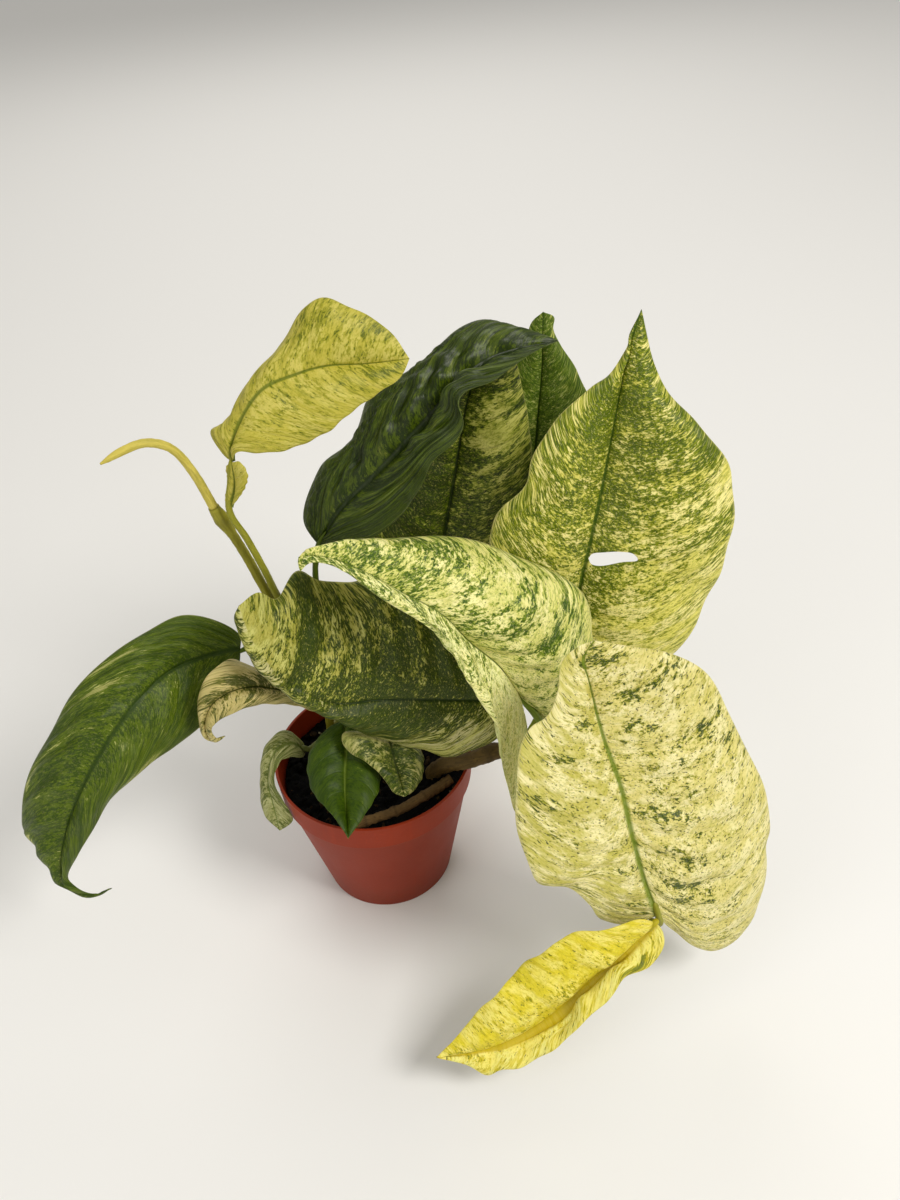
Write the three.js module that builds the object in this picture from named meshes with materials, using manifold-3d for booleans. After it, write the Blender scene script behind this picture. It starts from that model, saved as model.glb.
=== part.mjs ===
// A variegated climbing aroid in a small nursery pot.
// Lengths are in millimetres and +Z is up. The origin is the centre of the pot's flat base.
// The front of the plant faces -Y.
import * as THREE from 'three';
import { mergeVertices } from 'three/addons/utils/BufferGeometryUtils.js';
import Module from 'manifold-3d';

// Driving dimensions
const POT_RIM_RADIUS = 44;
const POT_HEIGHT = 74;
const POT_BASE_RADIUS = 30;
const POT_WALL = 1.2;
const POT_FLOOR = 1.6;
const RIM_BAND_HEIGHT = 13;
const RIM_BAND_STEP = 1.1;
const DRAIN_HOLES = 6;
const DRAIN_HOLE_RADIUS = 3.5;
const DRAIN_CIRCLE_RADIUS = 20;
const MIX_LEVEL = 64;
const MIX_RELIEF = 1.1;
const GAP = 0.3;
const ROUND_SIDES = 40;
const BLADE_THICKNESS = 0.8;
const STEM_FOOT_HEIGHT = 24;

const finish = (name, color, roughness) => {
  const material = new THREE.MeshStandardMaterial({ color, roughness, metalness: 0 });
  material.name = name;
  return material;
};

const MATERIALS = {
  pot: finish('terracotta_plastic', 0xb4593f, 0.45),
  mix: finish('potting_mix', 0x1f1814, 0.95),
  oldBark: finish('old_bark', 0x8f7355, 0.8),
  brownBark: finish('brown_bark', 0x6b4a35, 0.75),
  greenStem: finish('green_stem', 0x8f9a3c, 0.5),
  darkLeaf: finish('dark_leaf', 0x2f5422, 0.4),
  marbledLeaf: finish('marbled_leaf', 0x8fa04a, 0.45),
  creamLeaf: finish('cream_leaf', 0xd9d68f, 0.5),
  yellowLeaf: finish('yellow_leaf', 0xd8cf58, 0.5),
  plainLeaf: finish('plain_leaf', 0x4c8432, 0.4),
};

const point = ([x, y, z]) => new THREE.Vector3(x, y, z);

const smoothRoute = (points, steps) =>
  new THREE.CatmullRomCurve3(points, false, 'centripetal').getSpacedPoints(steps);

// Closed geometry from shared vertices and triangles; triangles that have collapsed are dropped.
const closedGeometry = (vertices, triangles) => {
  const soup = new THREE.BufferGeometry();
  const places = vertices.flatMap((v) => [v.x, v.y, v.z]);
  soup.setAttribute('position', new THREE.Float32BufferAttribute(places, 3));
  soup.setIndex(triangles.flat());
  const merged = mergeVertices(soup, 1e-3);
  const index = merged.getIndex().array;
  const kept = [];
  for (let i = 0; i < index.length; i += 3) {
    const [a, b, c] = [index[i], index[i + 1], index[i + 2]];
    if (a !== b && b !== c && c !== a) {
      kept.push(a, b, c);
    }
  }
  merged.setIndex(kept);
  return merged;
};

// Joining and cutting of closed geometries
const wasm = await Module();
wasm.setup();

const toSolid = (geometry) => {
  const bare = geometry.clone();
  bare.deleteAttribute('normal');
  bare.deleteAttribute('uv');
  const merged = mergeVertices(bare, 1e-4);
  return new wasm.Manifold(new wasm.Mesh({
    numProp: 3,
    vertProperties: new Float32Array(merged.getAttribute('position').array),
    triVerts: new Uint32Array(merged.getIndex().array),
  }));
};

const fromSolid = (solid) => {
  const mesh = solid.getMesh();
  const geometry = new THREE.BufferGeometry();
  geometry.setAttribute('position', new THREE.Float32BufferAttribute(mesh.vertProperties, 3));
  geometry.setIndex([...mesh.triVerts]);
  return geometry;
};

const joined = (geometries) => fromSolid(geometries.map(toSolid).reduce((all, next) => all.add(next)));

const cut = (geometry, cutters) =>
  fromSolid(cutters.map(toSolid).reduce((rest, next) => rest.subtract(next), toSolid(geometry)));

// A round stalk along a route; radiusAt gives its radius from 0 at the foot to 1 at the far end.
const stalk = (route, radiusAt, { steps = 8, sides = 6, extra = 0 } = {}) => {
  const centres = smoothRoute(route.map(point), steps);
  const vertices = [];
  const triangles = [];
  let across = new THREE.Vector3(1, 0, 0);
  centres.forEach((centre, i) => {
    const before = centres[Math.max(i - 1, 0)];
    const after = centres[Math.min(i + 1, steps)];
    const along = after.clone().sub(before).normalize();
    across = across.clone().addScaledVector(along, -across.dot(along)).normalize();
    const beside = along.clone().cross(across);
    const radius = radiusAt(i / steps) + extra;
    const ends = (i === steps ? 1 : 0) - (i === 0 ? 1 : 0);
    for (let k = 0; k < sides; k += 1) {
      const turn = (2 * Math.PI * k) / sides;
      vertices.push(centre.clone()
        .addScaledVector(across, radius * Math.cos(turn))
        .addScaledVector(beside, radius * Math.sin(turn))
        .addScaledVector(along, ends * extra));
    }
  });
  for (let i = 0; i < steps; i += 1) {
    for (let k = 0; k < sides; k += 1) {
      const [a, b] = [i * sides + k, i * sides + ((k + 1) % sides)];
      triangles.push([a, b, b + sides], [a, b + sides, a + sides]);
    }
  }
  for (let k = 1; k < sides - 1; k += 1) {
    const last = steps * sides;
    triangles.push([0, k + 1, k], [last, last + k, last + k + 1]);
  }
  return closedGeometry(vertices, triangles);
};

const taper = (foot, end) => (t) => foot + (end - foot) * t;

// A stem that thickens a little at its nodes, where leaf stalks start
const nodded = (foot, end, nodes, swelling = 0.5) => (t) => {
  const swell = nodes.reduce((sum, at) => sum + Math.exp(-(((t - at) / 0.03) ** 2)), 0);
  return foot + (end - foot) * t + swelling * swell;
};

// Leaves. Each blade is drawn by three routes from its base to its tip: the midrib, and the left and right
// margins as seen from above with the tip ahead. Both margins start at the midrib's base and end at its tip.
// belly is how far each half is puffed up, and wave is the margin's count of waves, their height and phase.
const LEAVES = [
  {
    name: 'leaf_upright_right',
    material: 'marbledLeaf',
    mid: [[90, 6, 122], [94, 14, 145], [99, 20, 164], [105, 28, 187], [111, 36, 216], [116, 42, 238],
      [121, 46, 252]],
    left: [[73.5, 0, 127], [58, 8, 149], [58, 14, 170.5], [60.5, 18, 182], [72, 20, 195.5],
      [77.5, 22, 208], [88, 28, 220], [99.5, 33, 228.5], [108, 37, 231], [115, 42, 238], [119.5, 45, 247]],
    right: [[110.5, 0, 109.5], [133.5, 2, 117], [146, 8, 137], [154, 13, 162.5], [156, 18, 181.5],
      [152, 22, 198], [141, 28, 212], [131, 34, 222], [125.5, 39, 232.5], [123, 44, 243]],
    belly: [6, 7],
    wave: [4, 1.4, 0.4],
    stalk: [[68, -14, 89.2], [79, -5, 104], [90, 6, 122], [91.5, 9, 130]],
    grid: [20, 8],
  },
  {
    name: 'leaf_dark_arching',
    material: 'darkLeaf',
    mid: [[-11, 24, 173], [0, 22, 191], [15, 22, 206], [28, 24, 218], [39, 28, 227], [49, 34, 235],
      [65, 42, 241], [90, 50, 241]],
    left: [[-16, 30, 181], [-13, 34, 192], [-6, 38, 201], [6, 42, 209], [14, 46, 224], [31, 50, 233],
      [45, 54, 242], [61, 56, 249], [76, 54, 246]],
    right: [[-2, 18, 176], [16, 14, 184], [30, 14, 199], [39, 14, 214], [50, 16, 227], [50, 20, 235],
      [61, 28, 237], [74, 38, 240]],
    belly: [5, 4],
    wave: [4, 1.6, 1.2],
    stalk: [[7.4, 17.6, 97], [2, 20, 106], [-10, 22, 130], [-14, 20, 158], [-11, 24, 173], [-7, 23, 180]],
    grid: [16, 8],
  },
  {
    name: 'leaf_mottled_back',
    material: 'marbledLeaf',
    mid: [[35, 34, 136], [40, 40, 160], [47, 46, 188], [53, 52, 213], [60, 57, 231], [68, 62, 245]],
    left: [[17, 32, 139], [7, 40, 159], [17, 46, 182], [30, 52, 206], [46, 57, 228]],
    right: [[56, 30, 137], [72, 34, 156], [78, 38, 191], [77, 44, 213], [74, 54, 232]],
    belly: [4, 4],
    wave: [3, 1.4, 2.1],
    stalk: [[18.4, 22.6, 106], [25, 27.5, 118], [31, 32, 128], [35, 34, 136], [37, 36, 144]],
    grid: [12, 8],
  },
  {
    name: 'leaf_dark_back',
    material: 'darkLeaf',
    mid: [[76, 56, 131], [80, 60, 160], [83, 64, 193], [86, 68, 219], [87, 70, 243]],
    left: [[65, 60, 140], [61, 64, 175], [68, 68, 207], [79, 70, 229], [82.5, 71, 238.5]],
    right: [[91, 50, 145], [104, 54, 177], [106, 60, 203], [100, 66, 218], [91, 70, 235], [91.5, 71, 240]],
    belly: [3, 3],
    wave: [3, 1.2, 0.2],
    stalk: [[17.3, 17.6, 97], [34, 28, 99], [58, 46, 108], [71, 54.5, 121], [76, 56, 131],
      [77.5, 57.5, 140]],
    grid: [12, 6],
  },
  {
    name: 'leaf_diagonal_front',
    material: 'marbledLeaf',
    mid: [[64, -22, 121], [57, -24, 140], [46, -24, 155], [36, -24, 171], [22, -22, 182], [9, -20, 192],
      [-3, -18, 198], [-11, -18, 199], [-13, -20, 194]],
    left: [[66, -34, 113], [63, -42, 89], [59, -46, 77], [56, -46, 98], [55, -42, 120], [47, -38, 139],
      [42, -34, 158], [30, -30, 171], [15, -26, 183], [1, -21, 195], [-9, -19, 197]],
    right: [[69.5, -20, 111], [75, -18.5, 100], [82.5, -17, 92.5], [91.5, -14.5, 93], [98, -12, 104],
      [99, -10, 120.5], [96, -8, 137], [92, -2, 156], [77, 4, 167], [61, 6, 176], [44, 4, 185],
      [24, -2, 192], [4, -10, 199], [-8, -16, 201], [-13, -18, 199]],
    belly: [3, 8],
    wave: [4, 1.2, 0.9],
    stalk: [[75.6, -23.5, 89], [75, -24.5, 98], [71, -24, 109], [64, -22, 121], [61, -23, 129]],
    grid: [18, 8],
  },
  {
    name: 'leaf_cream_right',
    material: 'creamLeaf',
    mid: [[110.5, -88, 62], [106.5, -84, 75], [101, -78, 97.5], [97, -68, 118.5], [92, -57, 134],
      [88.5, -48, 150], [87, -42, 161], [91, -39, 165.5]],
    left: [[99.5, -89, 59], [88, -91, 66.5], [82, -93, 81.5], [75, -94, 93.5], [68.5, -94, 95.5],
      [63, -93, 98], [58.5, -89, 113], [57, -79, 132], [60, -71, 144.5], [65, -65, 150], [71, -60, 150.5],
      [75.5, -54, 157], [78.5, -47, 164], [85, -42, 166]],
    right: [[114, -88, 55], [119.5, -87, 46.5], [127.5, -86, 34], [136.5, -84, 27], [146.5, -81, 27.5],
      [154, -78, 35.5], [155.5, -75, 52], [157, -71, 66.5], [157, -70, 76], [159, -67, 81],
      [155, -62, 98.5], [148, -57, 118], [140, -52, 135], [131, -47, 152.5], [118, -44, 160.5],
      [104, -41, 163]],
    belly: [5, 6],
    wave: [5, 1.6, 0.5],
    stalk: [[109, -84.6, 52.4], [111.5, -87, 55], [110.5, -88, 62], [109.2, -85.7, 68]],
    grid: [22, 8],
  },
  {
    name: 'leaf_yellow_low',
    material: 'yellowLeaf',
    mid: [[108, -94, 67.5], [98.5, -98, 56.5], [85.5, -103, 47], [66, -110, 30.5], [44.5, -116, 24],
      [19.5, -120, 28.5]],
    left: [[111, -95, 61.5], [111, -98, 56.5], [105, -103, 51.5], [95.5, -106, 51], [90.5, -110, 48],
      [83, -113, 42], [70, -118, 28.5], [53, -121, 17.5], [43.5, -122, 18], [38.5, -122, 14.5],
      [30, -121, 23]],
    right: [[102, -94, 70], [88.5, -95.5, 68.5], [73.5, -96, 66], [62, -98, 59], [52.5, -101, 51],
      [45, -105, 46.5], [32.5, -112, 36.5]],
    belly: [3, 5],
    wave: [4, 1.4, 1.8],
    stalk: [[106.2, -87.4, 53.2], [107, -91.2, 58.5], [108, -94, 67.5], [104.5, -95.4, 63.5]],
    grid: [16, 6],
  },
  {
    name: 'leaf_dark_left',
    material: 'darkLeaf',
    mid: [[-49, 10, 133.5], [-58.5, 6, 135.5], [-74, -6, 139.5], [-85, -20, 138.5], [-96.5, -32, 130.5],
      [-109, -42, 116], [-121, -47, 95], [-127, -51, 79], [-127, -53, 68], [-119, -55, 62.5],
      [-109, -56, 67]],
    left: [[-51, 6, 126], [-62.5, -9, 116], [-76.5, -23, 112], [-86, -31, 112.5], [-95.5, -38, 109],
      [-102, -43, 105], [-110, -48, 95.5], [-118.5, -51, 84.5], [-126.5, -53, 72], [-125, -53.5, 67.5],
      [-121, -54.5, 64], [-115.5, -55.5, 63.5]],
    right: [[-49.5, 16, 135.5], [-57.5, 15, 145.5], [-69.5, 10, 154], [-82, 4, 152.5], [-94, -4, 150.5],
      [-112, -16, 140], [-122.5, -24, 129], [-132.5, -31, 115.5], [-140.5, -39, 97], [-142, -41, 90],
      [-137.5, -45, 81.5], [-133, -49, 70], [-129, -52, 67], [-125, -53.5, 65], [-121, -54.5, 61.5],
      [-115.5, -55.5, 62]],
    belly: [4, 5],
    wave: [4, 1.2, 2.6],
    stalk: [[5.3, 14.8, 84], [-9, 22, 108], [-28, 20, 127], [-41, 14, 132.5], [-49, 10, 132],
      [-54, 8.4, 131.4]],
    grid: [20, 8],
  },
  {
    name: 'leaf_cream_left',
    material: 'creamLeaf',
    mid: [[-10, 2, 97], [-22, -3, 111], [-34, -10, 127], [-46, -17, 136], [-57, -21, 133],
      [-62, -23, 122], [-60, -24, 114], [-55, -24, 117]],
    left: [[-14, -2, 100], [-26, -9, 115], [-39, -18, 127], [-51, -24, 129], [-59, -26, 124],
      [-58, -25, 117]],
    right: [[-13, 4, 102], [-27, 3, 113], [-39, -3, 132], [-50, -13, 148], [-59, -19, 143],
      [-64, -22, 128], [-63, -24, 116]],
    belly: [3, 3],
    wave: [3, 0.8, 0.3],
    stalk: [[-13.4, 8, 82], [-14, 5, 90], [-10, 2, 97], [-13, 1, 100.5]],
    grid: [12, 6],
  },
  {
    name: 'leaf_low_middle',
    material: 'marbledLeaf',
    mid: [[61, -6, 104], [48, -10, 110], [28.5, -13, 116], [7, -15.5, 121], [-8.5, -18.5, 124],
      [-20.5, -22, 136], [-29.5, -25, 152], [-34.5, -26, 169], [-36.5, -24, 184]],
    left: [[60.5, -9, 94.5], [55, -13, 88.5], [43, -16, 85.5], [33, -17, 85], [23.5, -17.5, 91],
      [16, -18, 94], [0.5, -18, 104.5], [-9.5, -18, 116.5], [-23, -19, 129.5], [-33.5, -21, 145],
      [-38, -23, 164], [-39.5, -23, 177.5]],
    right: [[61, 0, 122.5], [52, 8, 139], [36.5, 14, 154.5], [19, 16, 162], [0.5, 12, 162],
      [-11, 6, 169.5], [-17.5, 0, 179], [-25, -10, 174.5], [-30.5, -17, 184]],
    belly: [5, 6],
    wave: [4, 1, 1.5],
    stalk: [[60, -12, 89.6], [61, -9, 97], [61, -6, 104], [57, -7.2, 106]],
    grid: [18, 8],
  },
  {
    name: 'leaf_small_plain',
    material: 'plainLeaf',
    mid: [[-9, -6, 102], [-9, -15, 96], [-10, -29, 90], [-10, -42, 85], [-9, -54, 83]],
    left: [[-2, -8, 98], [4, -19, 91], [4, -32, 86], [-3, -46, 85]],
    right: [[-17, -10, 101], [-25, -19, 95], [-24, -32, 89], [-15, -46, 89]],
    belly: [3, 3],
    wave: [2, 0.4, 0],
    stalk: [[-9, 10.2, 86], [-5, 4, 96], [-6, -2, 102.5], [-9, -6, 102], [-9, -9, 100]],
    grid: [10, 6],
  },
  {
    name: 'leaf_small_marbled',
    material: 'marbledLeaf',
    mid: [[9, -11, 96.5], [10, -17, 92.5], [12, -26, 86.5], [14, -34, 81.5]],
    left: [[18, -10, 90], [23, -15, 84], [22, -23, 81.5], [18, -30, 80]],
    right: [[-1.5, -14, 102.5], [-9.5, -18, 106], [-7.5, -23, 102], [-0.5, -27, 97], [6, -31, 92.5],
      [10, -34, 84.5]],
    belly: [3, 3],
    wave: [3, 0.7, 0.6],
    stalk: [[-8.4, 10.2, 75], [-3, 8, 82], [4, 3, 90], [8.5, -6, 98], [9, -11, 96.5], [9.5, -12.5, 95.5]],
    grid: [10, 6],
  },
  {
    name: 'leaf_small_pale',
    material: 'creamLeaf',
    mid: [[-29.5, 0, 78], [-35, -3, 87], [-41, -8, 87.5], [-45, -15, 79], [-44, -21.5, 68],
      [-43, -26, 56.5]],
    left: [[-30.5, -4, 78.5], [-35, -8, 83.5], [-39, -13, 86.5], [-41.5, -18, 81.5], [-38.5, -23.5, 72],
      [-36.5, -26, 62.5]],
    right: [[-30.5, 3, 80], [-37, 1, 91.5], [-45, -3, 87], [-50, -12.5, 74], [-49, -21, 62]],
    belly: [1, 1],
    wave: [2, 0.6, 1],
    stalk: [[-15.4, 10, 76], [-21, 5, 80], [-28, 0, 79], [-31, -0.8, 82]],
    grid: [12, 6],
  },
  {
    name: 'leaf_yellow_top',
    material: 'yellowLeaf',
    mid: [[-31, -7, 234.5], [-30, -6, 239.5], [-25.5, -3, 248.5], [-17, 1, 257], [-7, 5, 259],
      [4.5, 9, 259.5], [18.5, 12, 257.5], [33.5, 13, 257.5]],
    left: [[-34.5, -4, 237.5], [-37.5, 1, 243], [-29.5, 7, 243.5], [-20.5, 13, 254], [-10, 17, 266],
      [4, 20, 279], [15, 18, 276], [27.5, 16, 267]],
    right: [[-28, -9, 239.5], [-21.5, -8, 238], [-11, -6, 237], [2.5, -2, 240], [12, 2, 245],
      [21.5, 6, 249], [30, 10, 252.5]],
    belly: [4, 3],
    wave: [3, 0.9, 2],
    stalk: [[-18.8, 10, 122], [-28, 6.5, 161], [-30.5, 2.5, 180], [-33.5, -0.5, 197], [-36.5, -4, 212.5],
      [-33.5, -4.5, 225.5], [-31.5, -6.5, 234.5], [-30.5, -6, 237]],
    stalkSteps: 12,
    sheath: {
      mid: [[-36, -5, 214], [-32, -6, 224], [-31, -7, 234.5]],
      left: [[-37, -4.5, 217], [-34.5, -4.5, 225], [-33.5, -5.5, 232]],
      right: [[-32.5, -6, 218], [-28, -7.5, 224.5], [-26, -9, 231], [-28, -8, 235]],
      belly: [0.6, 1],
      wave: [1, 0, 0],
      grid: [6, 4],
    },
    grid: [14, 6],
  },
];

// Rows of points over a blade: each row runs from the left margin over the midrib to the right margin.
const bladeRows = ({ mid, left, right, belly, wave, grid: [along, across] }) => {
  const ribRoute = mid.map(point);
  const ends = (route) => [ribRoute[0], ...route.map(point), ribRoute[ribRoute.length - 1]];
  const rib = smoothRoute(ribRoute, along);
  const margins = [smoothRoute(ends(left), along), smoothRoute(ends(right), along)];
  const [waves, waveHeight, phase] = wave;
  return rib.map((centre, i) => {
    const t = i / along;
    const tangent = rib[Math.min(i + 1, along)].clone().sub(rib[Math.max(i - 1, 0)]).normalize();
    const row = [];
    for (let j = 0; j <= across; j += 1) {
      const s = (2 * j) / across - 1;
      const side = s < 0 ? 0 : 1;
      const reach = Math.abs(s);
      const lateral = margins[side][i].clone().sub(centre);
      const upper = lateral.clone().cross(tangent).multiplyScalar(side === 0 ? -1 : 1).normalize();
      const puff = belly[side] * Math.sin(Math.PI * t) * 4 * reach * (1 - reach);
      const ripple = waveHeight * Math.sin(Math.PI * t) * reach ** 3
        * Math.sin(2 * Math.PI * waves * t + phase + side * 1.7);
      row.push(centre.clone().addScaledVector(lateral, reach).addScaledVector(upper, puff + ripple));
    }
    return row;
  });
};

// Upward normals at the points of a blade's rows; the pointed ends borrow the normal of the row beside them.
const bladeNormals = (rows) => {
  const [along, across] = [rows.length - 1, rows[0].length - 1];
  const inner = rows.map((row, i) => row.map((_, j) => {
    const lateral = row[Math.min(j + 1, across)].clone().sub(row[Math.max(j - 1, 0)]);
    const forward = rows[Math.min(i + 1, along)][j].clone().sub(rows[Math.max(i - 1, 0)][j]);
    return lateral.cross(forward).normalize();
  }));
  const middle = across / 2;
  return inner.map((row, i) => {
    if (i === 0) {
      return row.map(() => inner[1][middle]);
    }
    return i === along ? row.map(() => inner[along - 1][middle]) : row;
  });
};

// A closed sheet of even thickness over the rows; both faces are split into triangles alike.
const sheet = (rows, thickness) => {
  const normals = bladeNormals(rows);
  const [along, across] = [rows.length - 1, rows[0].length - 1];
  const width = across + 1;
  const half = thickness / 2;
  const face = (sign) => rows.flatMap((row, i) => row.map((p, j) =>
    p.clone().addScaledVector(normals[i][j], sign * half)));
  const vertices = [...face(1), ...face(-1)];
  const under = (along + 1) * width;
  const triangles = [];
  for (let i = 0; i < along; i += 1) {
    for (let j = 0; j < across; j += 1) {
      const [a, b, c, d] = [i * width + j, i * width + j + 1, (i + 1) * width + j + 1, (i + 1) * width + j];
      triangles.push([a, b, c], [a, c, d]);
      triangles.push([under + a, under + c, under + b], [under + a, under + d, under + c]);
    }
    const [l, lNext, r, rNext] = [i * width, (i + 1) * width, i * width + across, (i + 1) * width + across];
    triangles.push([l, lNext, under + lNext], [l, under + lNext, under + l]);
    triangles.push([r, under + rNext, rNext], [r, under + r, under + rNext]);
  }
  return closedGeometry(vertices, triangles);
};

const STALK_FOOT_RADIUS = 1.7;
const STALK_END_RADIUS = 1.1;

// A blade joined with its stalk, and with the short wing that clasps the stalk where the leaf has one
const leaf = (shape) => joined([
  sheet(bladeRows(shape), BLADE_THICKNESS),
  stalk(shape.stalk, taper(STALK_FOOT_RADIUS, STALK_END_RADIUS), { steps: shape.stalkSteps ?? 8 }),
  ...(shape.sheath ? [sheet(bladeRows(shape.sheath), BLADE_THICKNESS)] : []),
]);

// The slit that has torn open beside the midrib of the upright leaf: its outline from its left end along its
// lower edge and back along its upper edge, and how the cut through the blade leans back and is turned
const SLIT = {
  centre: [107.2, 19, 156.4],
  outline: [[-9.2, 0], [-8, -2.2], [-4.4, -3], [3.6, -1.6], [10, -0.8], [8, 1.6], [3, 2.5], [-3, 2.4],
    [-8, 1.8]],
  depth: 40,
  lean: 0.87,
  turn: -0.09,
};

const slitCutter = () => {
  const outline = new THREE.Shape(SLIT.outline.map(([x, y]) => new THREE.Vector2(x, y)));
  const cutter = new THREE.ExtrudeGeometry(outline, { depth: SLIT.depth, bevelEnabled: false });
  cutter.translate(0, 0, -SLIT.depth / 2);
  cutter.rotateZ(SLIT.turn);
  cutter.rotateX(SLIT.lean);
  cutter.translate(...SLIT.centre);
  return cutter;
};

// Stems
const STEMS = {
  stem_climbing: {
    material: 'greenStem',
    route: [[8, 12, STEM_FOOT_HEIGHT], [8, 12, MIX_LEVEL], [11, 15, 92], [17, 20.5, 116]],
    radius: nodded(3.4, 2.4, [0.66, 0.78, 0.9]),
  },
  stem_trailing: {
    material: 'brownBark',
    route: [[24, -4, STEM_FOOT_HEIGHT], [25, -6, 60], [32, -12, 74.5], [42, -15, 79], [56, -13, 81.5],
      [75, -24, 83], [92, -48, 77], [103, -69, 65], [107, -82, 53.5]],
    radius: nodded(4, 2.5, [0.42, 0.55, 0.68, 0.97], 0.6),
    steps: 20,
  },
  stem_shoot: {
    material: 'greenStem',
    route: [[-20, 18, STEM_FOOT_HEIGHT], [-20, 18, MIX_LEVEL], [-19, 15, 95], [-24, 11, 125.5],
      [-31.5, 8, 160], [-37, 5, 187.5], [-42.5, 0, 211.5]],
    radius: nodded(2.1, 1.8, [0.965], 1),
    steps: 14,
  },
  stem_small: {
    material: 'greenStem',
    route: [[-12, 12, STEM_FOOT_HEIGHT], [-12, 12, MIX_LEVEL], [-12, 12, 88]],
    radius: nodded(1.9, 1.6, [0.9]),
  },
};

const stem = ({ route, radius, steps = 10 }, extra = 0) => stalk(route, radius, { steps, sides: 8, extra });

const OLD_STEM = {
  route: [[-14, -36, MIX_LEVEL + 2], [-2, -32.5, MIX_LEVEL + 2.6], [11, -28, MIX_LEVEL + 2.4],
    [22, -22, MIX_LEVEL + 2.8], [29, -17.5, MIX_LEVEL + 3], [34, -15, MIX_LEVEL + 4.4]],
  radius: nodded(1.9, 2.3, [0.2, 0.45, 0.72], 0.35),
  steps: 12,
};

const ROLLED_LEAF = {
  route: [[-42.6, -0.1, 211.9], [-45.5, -3, 228], [-49, -6, 239.5], [-52.5, -8.5, 244.5], [-57.5, -11, 247],
    [-64, -14, 246.5], [-71.5, -17, 244]],
  radius: (t) => 1.85 - 0.35 * t - 1.1 * Math.max(0, (t - 0.85) / 0.15) ** 2,
};

// The pot: a tapered wall, a band that stands proud round the rim, and a flat base with drain holes
const pot = () => {
  const bandFoot = POT_HEIGHT - RIM_BAND_HEIGHT;
  const bandRadius = POT_RIM_RADIUS - 0.7;
  const wallTop = bandRadius - RIM_BAND_STEP;
  const profile = [
    [0, 0], [POT_BASE_RADIUS - 0.6, 0], [POT_BASE_RADIUS, 0.6],
    [wallTop, bandFoot], [bandRadius, bandFoot],
    [POT_RIM_RADIUS, POT_HEIGHT - 0.6], [POT_RIM_RADIUS - 0.5, POT_HEIGHT],
    [POT_RIM_RADIUS - POT_WALL, POT_HEIGHT], [POT_RIM_RADIUS - POT_WALL - 0.5, POT_HEIGHT - 0.8],
    [wallTop - POT_WALL, bandFoot], [POT_BASE_RADIUS - POT_WALL, POT_FLOOR], [0, POT_FLOOR],
  ];
  const body = new THREE.LatheGeometry(profile.map(([r, z]) => new THREE.Vector2(r, z)), ROUND_SIDES);
  body.rotateX(Math.PI / 2);
  const holes = Array.from({ length: DRAIN_HOLES }, (_, k) => {
    const turn = (2 * Math.PI * k) / DRAIN_HOLES;
    const hole = new THREE.CylinderGeometry(DRAIN_HOLE_RADIUS, DRAIN_HOLE_RADIUS, 4 * POT_FLOOR, 12);
    hole.rotateX(Math.PI / 2);
    hole.translate(DRAIN_CIRCLE_RADIUS * Math.cos(turn), DRAIN_CIRCLE_RADIUS * Math.sin(turn), POT_FLOOR / 2);
    return hole;
  });
  return cut(body, holes);
};

// The potting mix fills the pot; its top is uneven, and each stem stands in a plain hole in it.
const pottingMix = () => {
  const bandFoot = POT_HEIGHT - RIM_BAND_HEIGHT;
  const wallTop = POT_RIM_RADIUS - 0.7 - RIM_BAND_STEP - POT_WALL;
  const bottom = POT_FLOOR + GAP;
  const base = POT_BASE_RADIUS - POT_WALL - GAP;
  const topRadius = wallTop - GAP;
  const rings = [0.85, 0.64, 0.43, 0.21];
  const profile = [
    [0, bottom], [base, bottom], [topRadius, bandFoot], [topRadius, MIX_LEVEL],
    ...rings.map((share) => [topRadius * share, MIX_LEVEL]), [0, MIX_LEVEL],
  ];
  const body = new THREE.LatheGeometry(profile.map(([r, z]) => new THREE.Vector2(r, z)), ROUND_SIDES);
  body.rotateX(Math.PI / 2);
  const place = body.getAttribute('position');
  for (let i = 0; i < place.count; i += 1) {
    const [x, y, z] = [place.getX(i), place.getY(i), place.getZ(i)];
    const inward = Math.max(0, 1 - Math.hypot(x, y) / topRadius);
    if (z > MIX_LEVEL - GAP) {
      const bumps = Math.sin(0.31 * x + 1.3) * Math.cos(0.27 * y) + 0.6 * Math.sin(0.23 * x - 0.41 * y);
      place.setZ(i, z + MIX_RELIEF * bumps * Math.min(1, inward * 5));
    }
  }
  const holes = Object.values(STEMS).map((shape) => stem(shape, GAP));
  return cut(body, [...holes, stem(OLD_STEM, GAP)]);
};

const plant = new THREE.Group();

const addPiece = (name, geometry, material) => {
  const piece = new THREE.Mesh(geometry, MATERIALS[material]);
  piece.name = name;
  plant.add(piece);
};

addPiece('pot', pot(), 'pot');
addPiece('potting_mix', pottingMix(), 'mix');
addPiece('stem_old', stem(OLD_STEM), 'oldBark');
Object.entries(STEMS).forEach(([name, shape]) => addPiece(name, stem(shape), shape.material));
const rolledLeaf = stalk(ROLLED_LEAF.route, ROLLED_LEAF.radius, { steps: 12, sides: 8 });
addPiece('leaf_rolled_new', rolledLeaf, 'greenStem');
LEAVES.forEach((shape) => {
  const whole = leaf(shape);
  const solid = shape.name === 'leaf_upright_right' ? cut(whole, [slitCutter()]) : whole;
  addPiece(shape.name, solid, shape.material);
});

export default plant;
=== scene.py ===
"""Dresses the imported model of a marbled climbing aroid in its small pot.

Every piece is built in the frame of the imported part: metres, +Z up, the pot's base centre at the origin.
Points and sizes in the tables are in millimetres, as in the part's own source, and MM turns them into metres.
"""

import itertools
import math
import random

import bmesh
import bpy
import numpy as np
from bpy.props import FloatProperty, FloatVectorProperty, IntProperty, PointerProperty
from mathutils import Matrix, Vector, kdtree


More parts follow.
